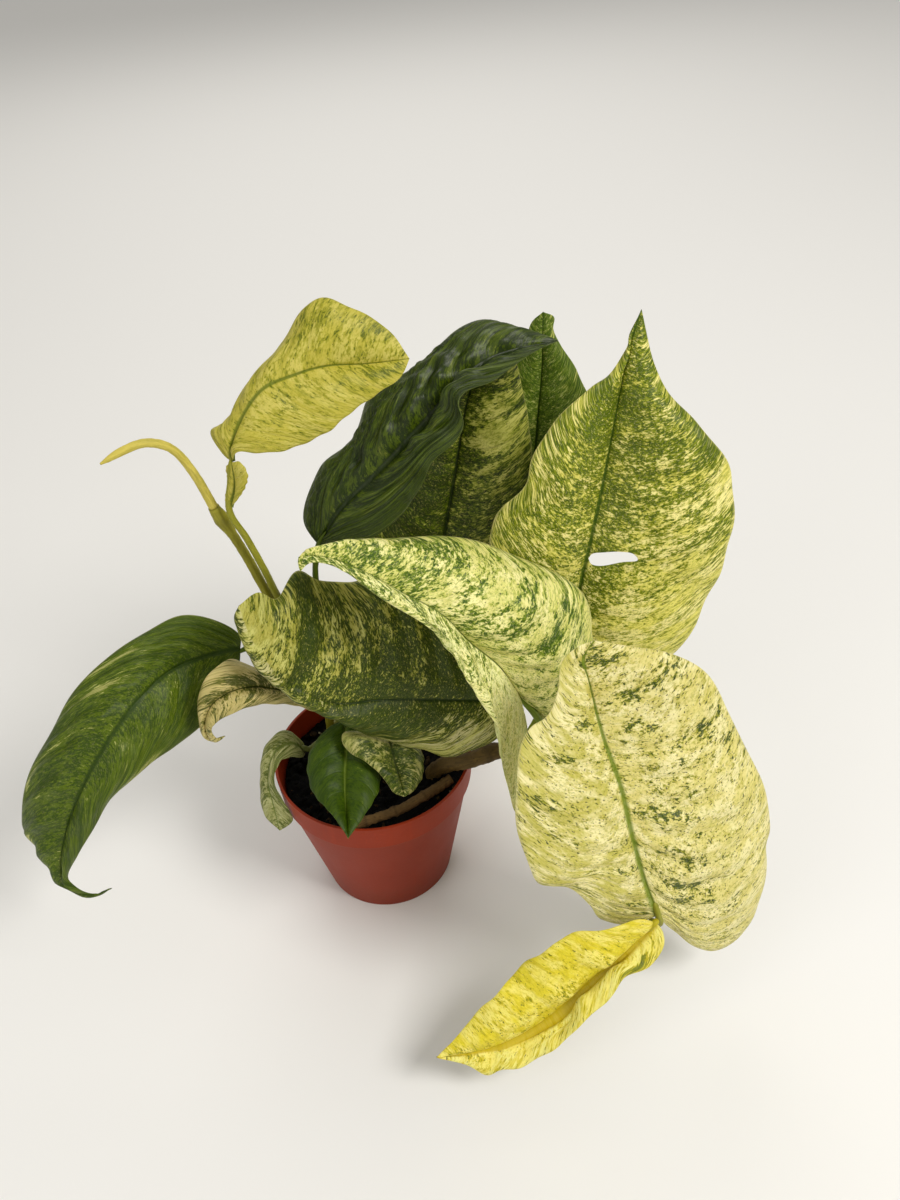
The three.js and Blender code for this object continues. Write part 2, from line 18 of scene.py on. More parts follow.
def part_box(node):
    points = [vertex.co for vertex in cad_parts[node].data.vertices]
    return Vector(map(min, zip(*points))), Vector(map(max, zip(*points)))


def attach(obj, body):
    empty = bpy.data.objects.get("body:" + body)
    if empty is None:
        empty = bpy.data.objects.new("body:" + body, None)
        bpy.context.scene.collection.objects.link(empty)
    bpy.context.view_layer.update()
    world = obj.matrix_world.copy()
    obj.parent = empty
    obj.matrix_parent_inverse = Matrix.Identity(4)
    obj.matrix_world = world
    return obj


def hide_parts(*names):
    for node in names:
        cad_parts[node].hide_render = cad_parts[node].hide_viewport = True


bl_info = {
    "name": "Potted Marbled Aroid",
    "version": (1, 0, 0),
    "blender": (4, 5, 0),
    "location": "View3D > Sidebar > Plant",
    "description": "Builds the leaves, stems, potting mix and pot of a marbled climbing aroid",
    "category": "Object",
}

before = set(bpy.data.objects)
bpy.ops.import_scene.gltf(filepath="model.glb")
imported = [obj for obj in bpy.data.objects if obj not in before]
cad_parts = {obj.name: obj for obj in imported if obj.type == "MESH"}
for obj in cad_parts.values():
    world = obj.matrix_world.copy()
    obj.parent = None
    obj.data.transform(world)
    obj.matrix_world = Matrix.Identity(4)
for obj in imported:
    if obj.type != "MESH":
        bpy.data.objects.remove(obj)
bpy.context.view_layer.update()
MM = 0.001

# Pot. The rim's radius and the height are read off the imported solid.
_, POT_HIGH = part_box("pot")
POT_RIM_RADIUS = POT_HIGH.x / MM
POT_HEIGHT = POT_HIGH.z / MM
POT_BASE_RADIUS = 30
POT_WALL = 1.2
POT_FLOOR = 1.6
POT_ROUNDING = 0.2
BASE_RECESS = 0.5
BASE_RECESS_RADIUS = 26
BASE_RECESS_SLOPE = 0.6
BAND_HEIGHT = 13
BAND_TAPER = 0.7
BAND_STEP = 1.1
BAND_FOOT = POT_HEIGHT - BAND_HEIGHT
BAND_FOOT_RADIUS = POT_RIM_RADIUS - BAND_TAPER
WALL_TOP_RADIUS = BAND_FOOT_RADIUS - BAND_STEP
WALL_TOP_THINNING = 0.3
DRAIN_HOLES = 6
DRAIN_HOLE_RADIUS = 3.5
DRAIN_CIRCLE_RADIUS = 20

# Potting mix: its level, how far its top swells, its gap to the pot, and the chips on it
MIX_LEVEL = 64
MIX_SWELL = 1.1
MIX_GAP = 0.3
MIX_RADIUS = WALL_TOP_RADIUS - POT_WALL - MIX_GAP
CHIP_COUNT = 420
CHIP_SIZES = (0.6, 0.8, 1.0, 1.3, 1.9)

# Where the camera stands, in millimetres, and how it looks, in degrees
CAMERA_PLACE = (40.2, -321.8, 427.9)
CAMERA_DOWN = 40
CAMERA_ROLL = -5
CAMERA_LENS = 31.8
CAMERA_SENSOR = 36

# Area lights: place and size in metres, and power. They all face one place in the plant.
LIGHTS = {
    "key": ((0.85, -0.6, 1.2), 0.5, 14),
    "fill": ((-1.0, -0.9, 0.9), 1.0, 5),
    "back": ((0.0, 1.3, 1.1), 1.2, 6),
}
LIGHT_AIM = (0.02, -0.02, 0.14)
LIGHT_COLOUR = (1.0, 0.97, 0.92)
SKY_COLOUR = (1.0, 0.97, 0.91, 1)
SKY_STRENGTH = 0.45
FLOOR_HALF = 6

# Leaves. Each blade is drawn by three routes from its base to its tip: the midrib (mid), and the left and
# right margins as seen from above with the tip ahead. Both margins start at the midrib's base and end at its
# tip. stalk is the route of the leaf's stalk. belly is how far each half is puffed up, and wave is the count
# of the margin's waves, their height and phase. A sheath is a short wing on the stalk, drawn as a blade is.
LEAVES = {
    "leaf_upright_right": {
        "mid": [(90, 6, 122), (94, 14, 145), (99, 20, 164), (105, 28, 187), (111, 36, 216), (116, 42, 238),
            (121, 46, 252)],
        "left": [(73.5, 0, 127), (58, 8, 149), (58, 14, 170.5), (60.5, 18, 182), (72, 20, 195.5),
            (77.5, 22, 208), (88, 28, 220), (99.5, 33, 228.5), (108, 37, 231), (115, 42, 238),
            (119.5, 45, 247)],
        "right": [(110.5, 0, 109.5), (133.5, 2, 117), (146, 8, 137), (154, 13, 162.5), (156, 18, 181.5),
            (152, 22, 198), (141, 28, 212), (131, 34, 222), (125.5, 39, 232.5), (123, 44, 243)],
        "stalk": [(68, -14, 89.2), (79, -5, 104), (90, 6, 122), (91.5, 9, 130)],
        "belly": (6, 7), "wave": (4, 1.4, 0.4),
    },
    "leaf_dark_arching": {
        "mid": [(-11, 24, 173), (0, 22, 191), (15, 22, 206), (28, 24, 218), (39, 28, 227), (49, 34, 235),
            (65, 42, 241), (90, 50, 241)],
        "left": [(-16, 30, 181), (-13, 34, 192), (-6, 38, 201), (6, 42, 209), (14, 46, 224), (31, 50, 233),
            (45, 54, 242), (61, 56, 249), (76, 54, 246)],
        "right": [(-2, 18, 176), (16, 14, 184), (30, 14, 199), (39, 14, 214), (50, 16, 227), (50, 20, 235),
            (61, 28, 237), (74, 38, 240)],
        "stalk": [(7.4, 17.6, 97), (2, 20, 106), (-10, 22, 130), (-14, 20, 158), (-11, 24, 173),
            (-7, 23, 180)],
        "belly": (5, 4), "wave": (4, 1.6, 1.2),
    },
    "leaf_mottled_back": {
        "mid": [(35, 34, 136), (40, 40, 160), (47, 46, 188), (53, 52, 213), (60, 57, 231), (68, 62, 245)],
        "left": [(17, 32, 139), (7, 40, 159), (17, 46, 182), (30, 52, 206), (46, 57, 228)],
        "right": [(56, 30, 137), (72, 34, 156), (78, 38, 191), (77, 44, 213), (74, 54, 232)],
        "stalk": [(18.4, 22.6, 106), (25, 27.5, 118), (31, 32, 128), (35, 34, 136), (37, 36, 144)],
        "belly": (4, 4), "wave": (3, 1.4, 2.1),
    },
    "leaf_dark_back": {
        "mid": [(76, 56, 131), (80, 60, 160), (83, 64, 193), (86, 68, 219), (87, 70, 243)],
        "left": [(65, 60, 140), (61, 64, 175), (68, 68, 207), (79, 70, 229), (82.5, 71, 238.5)],
        "right": [(91, 50, 145), (104, 54, 177), (106, 60, 203), (100, 66, 218), (91, 70, 235),
            (91.5, 71, 240)],
        "stalk": [(17.3, 17.6, 97), (34, 28, 99), (58, 46, 108), (71, 54.5, 121), (76, 56, 131),
            (77.5, 57.5, 140)],
        "belly": (3, 3), "wave": (3, 1.2, 0.2),
    },
    "leaf_diagonal_front": {
        "mid": [(64, -22, 121), (57, -24, 140), (46, -24, 155), (36, -24, 171), (22, -22, 182), (9, -20, 192),
            (-3, -18, 198), (-11, -18, 199), (-13, -20, 194)],
        "left": [(66, -34, 113), (63, -42, 89), (59, -46, 77), (56, -46, 98), (55, -42, 120), (47, -38, 139),
            (42, -34, 158), (30, -30, 171), (15, -26, 183), (1, -21, 195), (-9, -19, 197)],
        "right": [(69.5, -20, 111), (75, -18.5, 100), (82.5, -17, 92.5), (91.5, -14.5, 93), (98, -12, 104),
            (99, -10, 120.5), (96, -8, 137), (92, -2, 156), (77, 4, 167), (61, 6, 176), (44, 4, 185),
            (24, -2, 192), (4, -10, 199), (-8, -16, 201), (-13, -18, 199)],
        "stalk": [(75.6, -23.5, 89), (75, -24.5, 98), (71, -24, 109), (64, -22, 121), (61, -23, 129)],
        "belly": (3, 8), "wave": (4, 1.2, 0.9),
    },
    "leaf_cream_right": {
        "mid": [(110.5, -88, 62), (106.5, -84, 75), (101, -78, 97.5), (97, -68, 118.5), (92, -57, 134),
            (88.5, -48, 150), (87, -42, 161), (91, -39, 165.5)],
        "left": [(99.5, -89, 59), (88, -91, 66.5), (82, -93, 81.5), (75, -94, 93.5), (68.5, -94, 95.5),
            (63, -93, 98), (58.5, -89, 113), (57, -79, 132), (60, -71, 144.5), (65, -65, 150),
            (71, -60, 150.5), (75.5, -54, 157), (78.5, -47, 164), (85, -42, 166)],
        "right": [(114, -88, 55), (119.5, -87, 46.5), (127.5, -86, 34), (136.5, -84, 27), (146.5, -81, 27.5),
            (154, -78, 35.5), (155.5, -75, 52), (157, -71, 66.5), (157, -70, 76), (159, -67, 81),
            (155, -62, 98.5), (148, -57, 118), (140, -52, 135), (131, -47, 152.5), (118, -44, 160.5),
            (104, -41, 163)],
        "stalk": [(109, -84.6, 52.4), (111.5, -87, 55), (110.5, -88, 62), (109.2, -85.7, 68)],
        "belly": (5, 6), "wave": (5, 1.6, 0.5),
    },
    "leaf_yellow_low": {
        "mid": [(108, -94, 67.5), (98.5, -98, 56.5), (85.5, -103, 47), (66, -110, 30.5), (44.5, -116, 24),
            (19.5, -120, 28.5)],
        "left": [(111, -95, 61.5), (111, -98, 56.5), (105, -103, 51.5), (95.5, -106, 51), (90.5, -110, 48),
            (83, -113, 42), (70, -118, 28.5), (53, -121, 17.5), (43.5, -122, 18), (38.5, -122, 14.5),
            (30, -121, 23)],
        "right": [(102, -94, 70), (88.5, -95.5, 68.5), (73.5, -96, 66), (62, -98, 59), (52.5, -101, 51),
            (45, -105, 46.5), (32.5, -112, 36.5)],
        "stalk": [(106.2, -87.4, 53.2), (107, -91.2, 58.5), (108, -94, 67.5), (104.5, -95.4, 63.5)],
        "belly": (3, 5), "wave": (4, 1.4, 1.8),
    },
    "leaf_dark_left": {
        "mid": [(-49, 10, 133.5), (-58.5, 6, 135.5), (-74, -6, 139.5), (-85, -20, 138.5), (-96.5, -32, 130.5),
            (-109, -42, 116), (-121, -47, 95), (-127, -51, 79), (-127, -53, 68), (-119, -55, 62.5),
            (-109, -56, 67)],
        "left": [(-51, 6, 126), (-62.5, -9, 116), (-76.5, -23, 112), (-86, -31, 112.5), (-95.5, -38, 109),
            (-102, -43, 105), (-110, -48, 95.5), (-118.5, -51, 84.5), (-126.5, -53, 72), (-125, -53.5, 67.5),
            (-121, -54.5, 64), (-115.5, -55.5, 63.5)],
        "right": [(-49.5, 16, 135.5), (-57.5, 15, 145.5), (-69.5, 10, 154), (-82, 4, 152.5), (-94, -4, 150.5),
            (-112, -16, 140), (-122.5, -24, 129), (-132.5, -31, 115.5), (-140.5, -39, 97), (-142, -41, 90),
            (-137.5, -45, 81.5), (-133, -49, 70), (-129, -52, 67), (-125, -53.5, 65), (-121, -54.5, 61.5),
            (-115.5, -55.5, 62)],
        "stalk": [(5.3, 14.8, 84), (-9, 22, 108), (-28, 20, 127), (-41, 14, 132.5), (-49, 10, 132),
            (-54, 8.4, 131.4)],
        "belly": (4, 5), "wave": (4, 1.2, 2.6),
    },
    "leaf_cream_left": {
        "mid": [(-10, 2, 97), (-22, -3, 111), (-34, -10, 127), (-46, -17, 136), (-57, -21, 133),
            (-62, -23, 122), (-60, -24, 114), (-55, -24, 117)],
        "left": [(-14, -2, 100), (-26, -9, 115), (-39, -18, 127), (-51, -24, 129), (-59, -26, 124),
            (-58, -25, 117)],
        "right": [(-13, 4, 102), (-27, 3, 113), (-39, -3, 132), (-50, -13, 148), (-59, -19, 143),
            (-64, -22, 128), (-63, -24, 116)],
        "stalk": [(-13.4, 8, 82), (-14, 5, 90), (-10, 2, 97), (-13, 1, 100.5)],
        "belly": (3, 3), "wave": (3, 0.8, 0.3),
    },
    "leaf_low_middle": {
        "mid": [(61, -6, 104), (48, -10, 110), (28.5, -13, 116), (7, -15.5, 121), (-8.5, -18.5, 124),
            (-20.5, -22, 136), (-29.5, -25, 152), (-34.5, -26, 169), (-36.5, -24, 184)],
        "left": [(60.5, -9, 94.5), (55, -13, 88.5), (43, -16, 85.5), (33, -17, 85), (23.5, -17.5, 91),
            (16, -18, 94), (0.5, -18, 104.5), (-9.5, -18, 116.5), (-23, -19, 129.5), (-33.5, -21, 145),
            (-38, -23, 164), (-39.5, -23, 177.5)],
        "right": [(61, 0, 122.5), (52, 8, 139), (36.5, 14, 154.5), (19, 16, 162), (0.5, 12, 162),
            (-11, 6, 169.5), (-17.5, 0, 179), (-25, -10, 174.5), (-30.5, -17, 184)],
        "stalk": [(60, -12, 89.6), (61, -9, 97), (61, -6, 104), (57, -7.2, 106)],
        "belly": (5, 6), "wave": (4, 1, 1.5),
    },
    "leaf_small_plain": {
        "mid": [(-9, -6, 102), (-9, -15, 96), (-10, -29, 90), (-10, -42, 85), (-9, -54, 83)],
        "left": [(-2, -8, 98), (4, -19, 91), (4, -32, 86), (-3, -46, 85)],
        "right": [(-17, -10, 101), (-25, -19, 95), (-24, -32, 89), (-15, -46, 89)],
        "stalk": [(-9, 10.2, 86), (-5, 4, 96), (-6, -2, 102.5), (-9, -6, 102), (-9, -9, 100)],
        "belly": (3, 3), "wave": (2, 0.4, 0),
    },
    "leaf_small_marbled": {
        "mid": [(9, -11, 96.5), (10, -17, 92.5), (12, -26, 86.5), (14, -34, 81.5)],
        "left": [(18, -10, 90), (23, -15, 84), (22, -23, 81.5), (18, -30, 80)],
        "right": [(-1.5, -14, 102.5), (-9.5, -18, 106), (-7.5, -23, 102), (-0.5, -27, 97), (6, -31, 92.5),
            (10, -34, 84.5)],
        "stalk": [(-8.4, 10.2, 75), (-3, 8, 82), (4, 3, 90), (8.5, -6, 98), (9, -11, 96.5),
            (9.5, -12.5, 95.5)],
        "belly": (3, 3), "wave": (3, 0.7, 0.6),
    },
    "leaf_small_pale": {
        "mid": [(-29.5, 0, 78), (-35, -3, 87), (-41, -8, 87.5), (-45, -15, 79), (-44, -21.5, 68),
            (-43, -26, 56.5)],
        "left": [(-30.5, -4, 78.5), (-35, -8, 83.5), (-39, -13, 86.5), (-41.5, -18, 81.5), (-38.5, -23.5, 72),
            (-36.5, -26, 62.5)],
        "right": [(-30.5, 3, 80), (-37, 1, 91.5), (-45, -3, 87), (-50, -12.5, 74), (-49, -21, 62)],
        "stalk": [(-15.4, 10, 76), (-21, 5, 80), (-28, 0, 79), (-31, -0.8, 82)],
        "belly": (1, 1), "wave": (2, 0.6, 1),
    },
    "leaf_yellow_top": {
        "mid": [(-31, -7, 234.5), (-30, -6, 239.5), (-25.5, -3, 248.5), (-17, 1, 257), (-7, 5, 259),
            (4.5, 9, 259.5), (18.5, 12, 257.5), (33.5, 13, 257.5)],
        "left": [(-34.5, -4, 237.5), (-37.5, 1, 243), (-29.5, 7, 243.5), (-20.5, 13, 254), (-10, 17, 266),
            (4, 20, 279), (15, 18, 276), (27.5, 16, 267)],
        "right": [(-28, -9, 239.5), (-21.5, -8, 238), (-11, -6, 237), (2.5, -2, 240), (12, 2, 245),
            (21.5, 6, 249), (30, 10, 252.5)],
        "stalk": [(-18.8, 10, 122), (-28, 6.5, 161), (-30.5, 2.5, 180), (-33.5, -0.5, 197),
            (-36.5, -4, 212.5), (-33.5, -4.5, 225.5), (-31.5, -6.5, 234.5), (-30.5, -6, 237)],
        "belly": (4, 3), "wave": (3, 0.9, 2),
        "sheath": {
            "mid": [(-36, -5, 214), (-32, -6, 224), (-31, -7, 234.5)],
            "left": [(-37, -4.5, 217), (-34.5, -4.5, 225), (-33.5, -5.5, 232)],
            "right": [(-32.5, -6, 218), (-28, -7.5, 224.5), (-26, -9, 231), (-28, -8, 235)],
            "belly": (0.6, 1), "wave": (1, 0, 0),
        },
    },
}

# How each leaf is made
# tones: its colours, 0 to 255 on a screen, in the order of TONES
# pale_left_and_painted_light: the pale colour of the left half where it is another one; its own tone on some
# leaves, partly painted light on the diagonal front leaf and painted shade on the cream right leaf
# veins, sweep: the count of its side veins, and how far they lean to the tip
# pleat: how deep the side veins fold the left and the right half
# crumple, pucker: how uneven it is in the large and in the small
# scallop: how high the small waves of its margin are
# creases: folds between two places (along, across, along, across) with a width and a depth
# green, dark, flecks, islands: shares of the blade for the green ground, dark marks in it, dark flecks in the
#   pale ground and pale flecks in the green
# bands: how far the marbling gathers along the side veins
# patches: places made greener, or paler where the last number is negative (along, across, two radii, amount)
# grain: the size of its blots
# soft, speckle, vein_line: the share of shade in the pale ground, and the strength of the crackle and of the
#   lines along the veins
# rib_width, rib_end: the width of the midrib's colour, and where along the blade it fades
# gloss, shine: roughness and specular level
TONES = ("pale", "glow", "shade", "fresh", "deep", "speck", "rib")
LOOKS = {
    "leaf_upright_right": {
        "tones": [(222, 214, 106), (240, 230, 150), (160, 158, 48), (120, 132, 16), (64, 84, 4), (52, 66, 4),
            (56, 84, 10)],
        "slot": "marbled_leaf", "veins": 12, "pleat": (0.6, 0.7), "crumple": 1.1, "green": 0.56, "dark": 0.24,
        "flecks": 0.08, "islands": 0.14, "bands": 0.4, "scallop": 0.5, "rib_width": 1.7, "speckle": 0.55,
        "patches": [(0.9, 0.0, 0.3, 0.9, 1.2), (0.6, -0.5, 0.3, 0.5, 0.4), (0.15, 0.7, 0.3, 0.6, -1.9),
            (0.62, 0.93, 0.04, 0.09, -3.4), (0.7, 0.95, 0.05, 0.12, 2.4), (0.15, -0.6, 0.2, 0.5, -0.9),
            (0.4, 0.15, 0.2, 0.15, 0.8)],
    },
    "leaf_dark_arching": {
        "tones": [(108, 114, 34), (116, 126, 60), (84, 96, 30), (72, 88, 8), (30, 44, 2), (26, 38, 3),
            (30, 44, 4)],
        "slot": "dark_leaf", "veins": 9, "pleat": (2.0, 1.6), "crumple": 2.6, "green": 0.94, "dark": 0.52,
        "islands": 0.03, "bands": 0.8, "sweep": 0.62, "gloss": 0.38, "shine": 0.3, "vein_line": 0.3,
        "speckle": 0.3, "pucker": 0.6,
        "patches": [(0.88, 0.3, 0.2, 0.8, 0.6)],
        "creases": [(0.04, 0, 0.96, 0, 3.2, 2.4), (0.1, -0.42, 0.8, -0.4, 2.4, 1.8),
            (0.16, -0.74, 0.7, -0.72, 2.2, 1.4), (0.3, 0.4, 0.42, 0.95, 2.4, 1.5),
            (0.5, 0.3, 0.62, 0.9, 2.2, 1.5), (0.68, 0.35, 0.8, 0.9, 2.2, 1.2)],
    },
    "leaf_mottled_back": {
        "tones": [(160, 160, 72), (186, 182, 96), (120, 128, 34), (80, 94, 10), (30, 44, 3), (26, 38, 3),
            (24, 38, 4)],
        "slot": "marbled_leaf", "veins": 10, "pleat": (1.0, 0.7), "crumple": 0.9, "green": 0.8, "dark": 0.42,
        "flecks": 0.06, "islands": 0.12, "bands": 0.6, "vein_line": 0.3, "rib_width": 1.6, "speckle": 0.5,
        "patches": [(0.66, 0.55, 0.1, 0.3, -3.4), (0.4, -0.5, 0.4, 0.5, 1.6)],
    },
    "leaf_dark_back": {
        "tones": [(172, 180, 104), (190, 186, 100), (130, 146, 62), (96, 118, 34), (58, 82, 14), (40, 56, 8),
            (42, 62, 8)],
        "slot": "dark_leaf", "veins": 9, "pleat": (0.6, 0.6), "crumple": 0.7, "green": 0.88, "dark": 0.5,
        "islands": 0.16, "bands": 0.4, "speckle": 0.55,
        "patches": [(0.45, 0.75, 0.06, 0.3, -3.4)],
    },
    "leaf_diagonal_front": {
        "tones": [(224, 220, 132), (244, 238, 164), (184, 190, 84), (116, 136, 40), (50, 80, 18),
            (44, 66, 14), (84, 104, 30)],
        "slot": "marbled_leaf", "veins": 13, "pleat": (0.9, 1.2), "crumple": 1.4, "green": 0.36, "dark": 0.13,
        "flecks": 0.1, "islands": 0.12, "bands": 0.5, "rib_width": 0.8, "grain": 1.05, "speckle": 0.45,
        # The paler colour of the left half, and the paler patch on the left flap near the base, are partly
        # its own cream and partly painted light on that flap.
        "pucker": 0.2, "pale_left_and_painted_light": (246, 244, 176),
        "patches": [(0.42, 0.7, 0.03, 0.2, 2.2), (0.18, 0.95, 0.04, 0.16, 2.0), (0.8, 0.4, 0.3, 0.9, 0.4),
            (0.15, -0.6, 0.3, 0.8, -2.4), (0.3, 0.6, 0.2, 0.6, -0.4)],
    },
    "leaf_cream_right": {
        "tones": [(218, 207, 126), (234, 225, 164), (190, 180, 86), (150, 150, 48), (42, 66, 12),
            (38, 54, 10), (104, 126, 26)],
        "slot": "cream_leaf", "veins": 12, "pleat": (1.3, 1.6), "crumple": 2.4, "green": 0.1, "dark": 0.07,
        "flecks": 0.15, "bands": 0.7, "scallop": 0.0, "rib_width": 2.4, "soft": 0.36, "speckle": 0.5,
        # The darker pale colour of the left half is painted shade, for that half lying away from the light.
        "pucker": 0.24, "pale_left_and_painted_light": (192, 184, 92),
        "patches": [(0.97, 0.0, 0.07, 0.8, 1.8), (0.2, 0.25, 0.014, 0.2, 2.2), (0.27, 0.36, 0.012, 0.12, 2.4),
            (0.47, 0.3, 0.02, 0.22, 1.8), (0.54, 0.42, 0.016, 0.14, 1.8), (0.74, -0.3, 0.015, 0.12, 1.8),
            (0.66, -0.55, 0.015, 0.12, 1.8), (0.1, -0.3, 0.015, 0.2, 1.8), (0.33, 0.8, 0.012, 0.1, 1.8),
            (0.8, 0.2, 0.3, 0.2, 0.5)],
        "creases": [(0.86, -0.9, 0.97, 0.5, 2.6, 1.6), (0.9, 0.2, 0.96, 0.8, 2.0, 1.2)],
    },
    "leaf_yellow_low": {
        "tones": [(222, 206, 52), (238, 226, 116), (206, 188, 40), (186, 172, 30), (104, 116, 26),
            (70, 80, 14), (190, 168, 24)],
        "slot": "yellow_leaf", "veins": 9, "pleat": (0.2, 0.3), "crumple": 3.2, "green": 0.1, "dark": 0.02,
        "flecks": 0.09, "bands": 0.1, "sweep": 0.16, "rib_width": 1.9, "grain": 1.2, "pucker": 0.32,
        "pale_left_and_painted_light": (234, 228, 132),
        "patches": [(0.2, -0.75, 0.05, 0.3, 4.5), (0.45, 0.3, 0.04, 0.2, 1.8), (0.9, 0.3, 0.1, 0.5, 1.0),
            (0.6, -0.5, 0.05, 0.2, 1.0)],
        "creases": [(0.08, 0.05, 0.95, -0.05, 3.0, 1.8), (0.3, 0.3, 0.75, 0.4, 4.0, 1.4),
            (0.15, 0.8, 0.3, 0.5, 2.4, 1.2)],
    },
    "leaf_dark_left": {
        "tones": [(170, 172, 100), (182, 180, 110), (108, 122, 40), (84, 102, 14), (48, 68, 4), (46, 64, 6),
            (44, 64, 6)],
        "slot": "dark_leaf", "veins": 11, "pleat": (0.8, 2.2), "crumple": 1.4, "green": 0.97, "dark": 0.5,
        "islands": 0.03, "bands": 0.6, "scallop": 0.0, "vein_line": 0.2, "speckle": 0.35, "rib_width": 1.6,
        "pucker": 0.25,
        "patches": [(0.32, 0.86, 0.035, 0.1, -6), (0.36, 0.6, 0.03, 0.2, -3), (0.45, -0.95, 0.1, 0.1, -4),
            (0.62, 0.92, 0.04, 0.08, -4), (0.76, 0.8, 0.03, 0.12, -3.4)],
    },
    "leaf_cream_left": {
        "tones": [(190, 176, 112), (206, 190, 128), (164, 150, 88), (116, 116, 50), (64, 72, 18),
            (60, 66, 18), (62, 76, 18)],
        "slot": "cream_leaf", "veins": 7, "pleat": (0.5, 0.4), "crumple": 0.6, "green": 0.3, "dark": 0.18,
        "flecks": 0.05, "islands": 0.08, "bands": 0.8,
        "patches": [(0.6, 0.2, 0.2, 0.4, 1.4), (0.45, 0.8, 0.25, 0.35, -2.4)],
    },
    "leaf_low_middle": {
        "tones": [(176, 170, 82), (198, 196, 112), (140, 138, 46), (100, 110, 24), (42, 58, 8), (32, 46, 6),
            (34, 50, 6)],
        "slot": "marbled_leaf", "veins": 11, "pleat": (0.9, 1.1), "crumple": 1.5, "green": 0.62, "dark": 0.46,
        "flecks": 0.07, "islands": 0.14, "bands": 0.5, "rib_end": 0.45, "speckle": 0.35, "grain": 1.15,
        "pucker": 0.3, "pale_left_and_painted_light": (200, 194, 140),
        # The first patch, greener near the base on the upper half, is partly its own dark marbling and partly
        # painted shadow cast by the diagonal front leaf.
        "patches": [(0.12, 0.45, 0.22, 0.9, 3.0), (0.52, 0.4, 0.1, 0.5, -0.6), (0.95, 0.3, 0.2, 0.9, -1.8),
            (0.12, -0.6, 0.16, 0.7, -1.8), (0.5, -0.6, 0.16, 0.8, 3.4), (0.72, 0.6, 0.04, 0.6, 2.6)],
        "creases": [(0.74, -0.9, 0.62, 0.6, 3.6, 2.6), (0.82, 0.2, 0.9, 0.9, 3.0, 1.4)],
    },
    "leaf_small_plain": {
        "tones": [(106, 120, 42), (96, 114, 36), (84, 100, 24), (62, 82, 8), (46, 66, 4), (48, 66, 9),
            (92, 108, 32)],
        "slot": "plain_leaf", "veins": 6, "pleat": (0.35, 0.35), "crumple": 0.4, "green": 0.97, "dark": 0.4,
        "bands": 0.6, "speckle": 0.12,
        "patches": [(0.85, 0, 0.2, 0.8, -0.3)],
    },
    "leaf_small_marbled": {
        "tones": [(150, 150, 82), (176, 170, 108), (116, 120, 52), (80, 92, 24), (44, 60, 8), (40, 56, 8),
            (48, 62, 12)],
        "slot": "marbled_leaf", "veins": 6, "pleat": (0.5, 0.5), "crumple": 0.5, "green": 0.66, "dark": 0.28,
        "flecks": 0.04, "islands": 0.14, "bands": 0.5,
        "patches": [(0.2, 0.7, 0.25, 0.5, -2.4), (0.6, 0, 0.4, 0.8, 0.8)],
    },
    "leaf_small_pale": {
        "tones": [(160, 160, 104), (176, 176, 122), (134, 138, 76), (104, 112, 50), (70, 82, 28),
            (60, 72, 22), (100, 114, 48)],
        "slot": "cream_leaf", "veins": 6, "pleat": (0.4, 0.4), "crumple": 0.5, "green": 0.36, "dark": 0.1,
        "flecks": 0.02, "islands": 0.06, "bands": 0.4,
        "patches": [(0.5, -0.9, 0.4, 0.3, 1.6)],
    },
    "leaf_yellow_top": {
        "tones": [(182, 172, 68), (196, 186, 92), (160, 154, 50), (150, 148, 44), (84, 94, 14), (66, 78, 8),
            (92, 106, 22)],
        "slot": "yellow_leaf", "veins": 9, "pleat": (0.5, 0.5), "crumple": 1.0, "green": 0.2, "dark": 0.04,
        "flecks": 0.07, "bands": 0.3, "rib_width": 1.0, "speckle": 0.45, "sweep": 0.28,
        "patches": [(0.85, 0.5, 0.12, 0.3, 2.6), (0.8, -0.8, 0.3, 0.3, 1.0)],
    },
}
DEFAULT_LOOK = {
    "pale_left_and_painted_light": None, "sweep": 0.34, "pucker": 0.14, "scallop": 0.25, "creases": [], "flecks": 0.0,
    "islands": 0.0, "grain": 1.0, "soft": 0.4, "speckle": 0.4, "vein_line": 0.08, "rib_width": 1.1,
    "rib_end": 2, "gloss": 0.46, "shine": 0.22,
}
SHEATH_LOOK = {"pleat": (0, 0), "crumple": 0.2, "patches": [(0.5, 0, 1, 1, -1.0)]}

# Noises of the marbling: the width of their blots across the side veins and the length along them, a shift
# that keeps them apart, detail and distortion
BLOTS = {
    "fine": (0.75, 1.7, 0.1, 3, 0.5),
    "middle": (1.8, 4.2, 7.3, 2, 0.4),
    "cluster": (5, 12, 13.7, 2, 0),
    "band": (8, 45, 17.9, 2, 0),
    "cloud": (6, 10, 21.9, 2, 0),
    "soft": (0.8, 1.6, 25.3, 3, 0),
    "half_tone": (2, 4, 31.1, 2, 0),
    "dark": (0.9, 1.8, 43.3, 3, 0.5),
    "fleck": (0.65, 1.2, 57.7, 1.5, 0),
    "island": (0.7, 1.3, 63.9, 2, 0),
    "crackle": (0.55, 1.0, 71.3, 3, 0),
}
BLOT_ROUGHNESS = 0.62
UNDERSIDE = (142, 154, 84)

# How finely curves and surfaces are drawn. A leaf shorter than SMALL_LEAF has half the rows and columns.
SMALL_LEAF = 75
SPAN_POINTS = 25
BLADE_STEPS = 400
STALK_STEPS, STALK_SIDES = 60, 14
STEM_STEPS, STEM_SIDES = 150, 28
ROLLED_STEPS, ROLLED_SIDES = 90, 48
POT_SIDES = 144
MIX_SIDES, MIX_RINGS = 168, 46
# Points closer than JOINED are joined, and edges shorter than TOO_SHORT are dissolved.
JOINED = 0.004
TOO_SHORT = 0.001

# What all leaves share: how far the side veins of the right half are set off from those of the left, as a
# share of their distance; scallops along a margin; sizes of crumples and puckers; a stalk's radii at its foot
# and its end
VEIN_OFFSET = 0.37
SCALLOPS = 8.5
CRUMPLE_SIZE = 26
PUCKER_SIZE = 8
STALK_RADII = (1.7, 1.1)

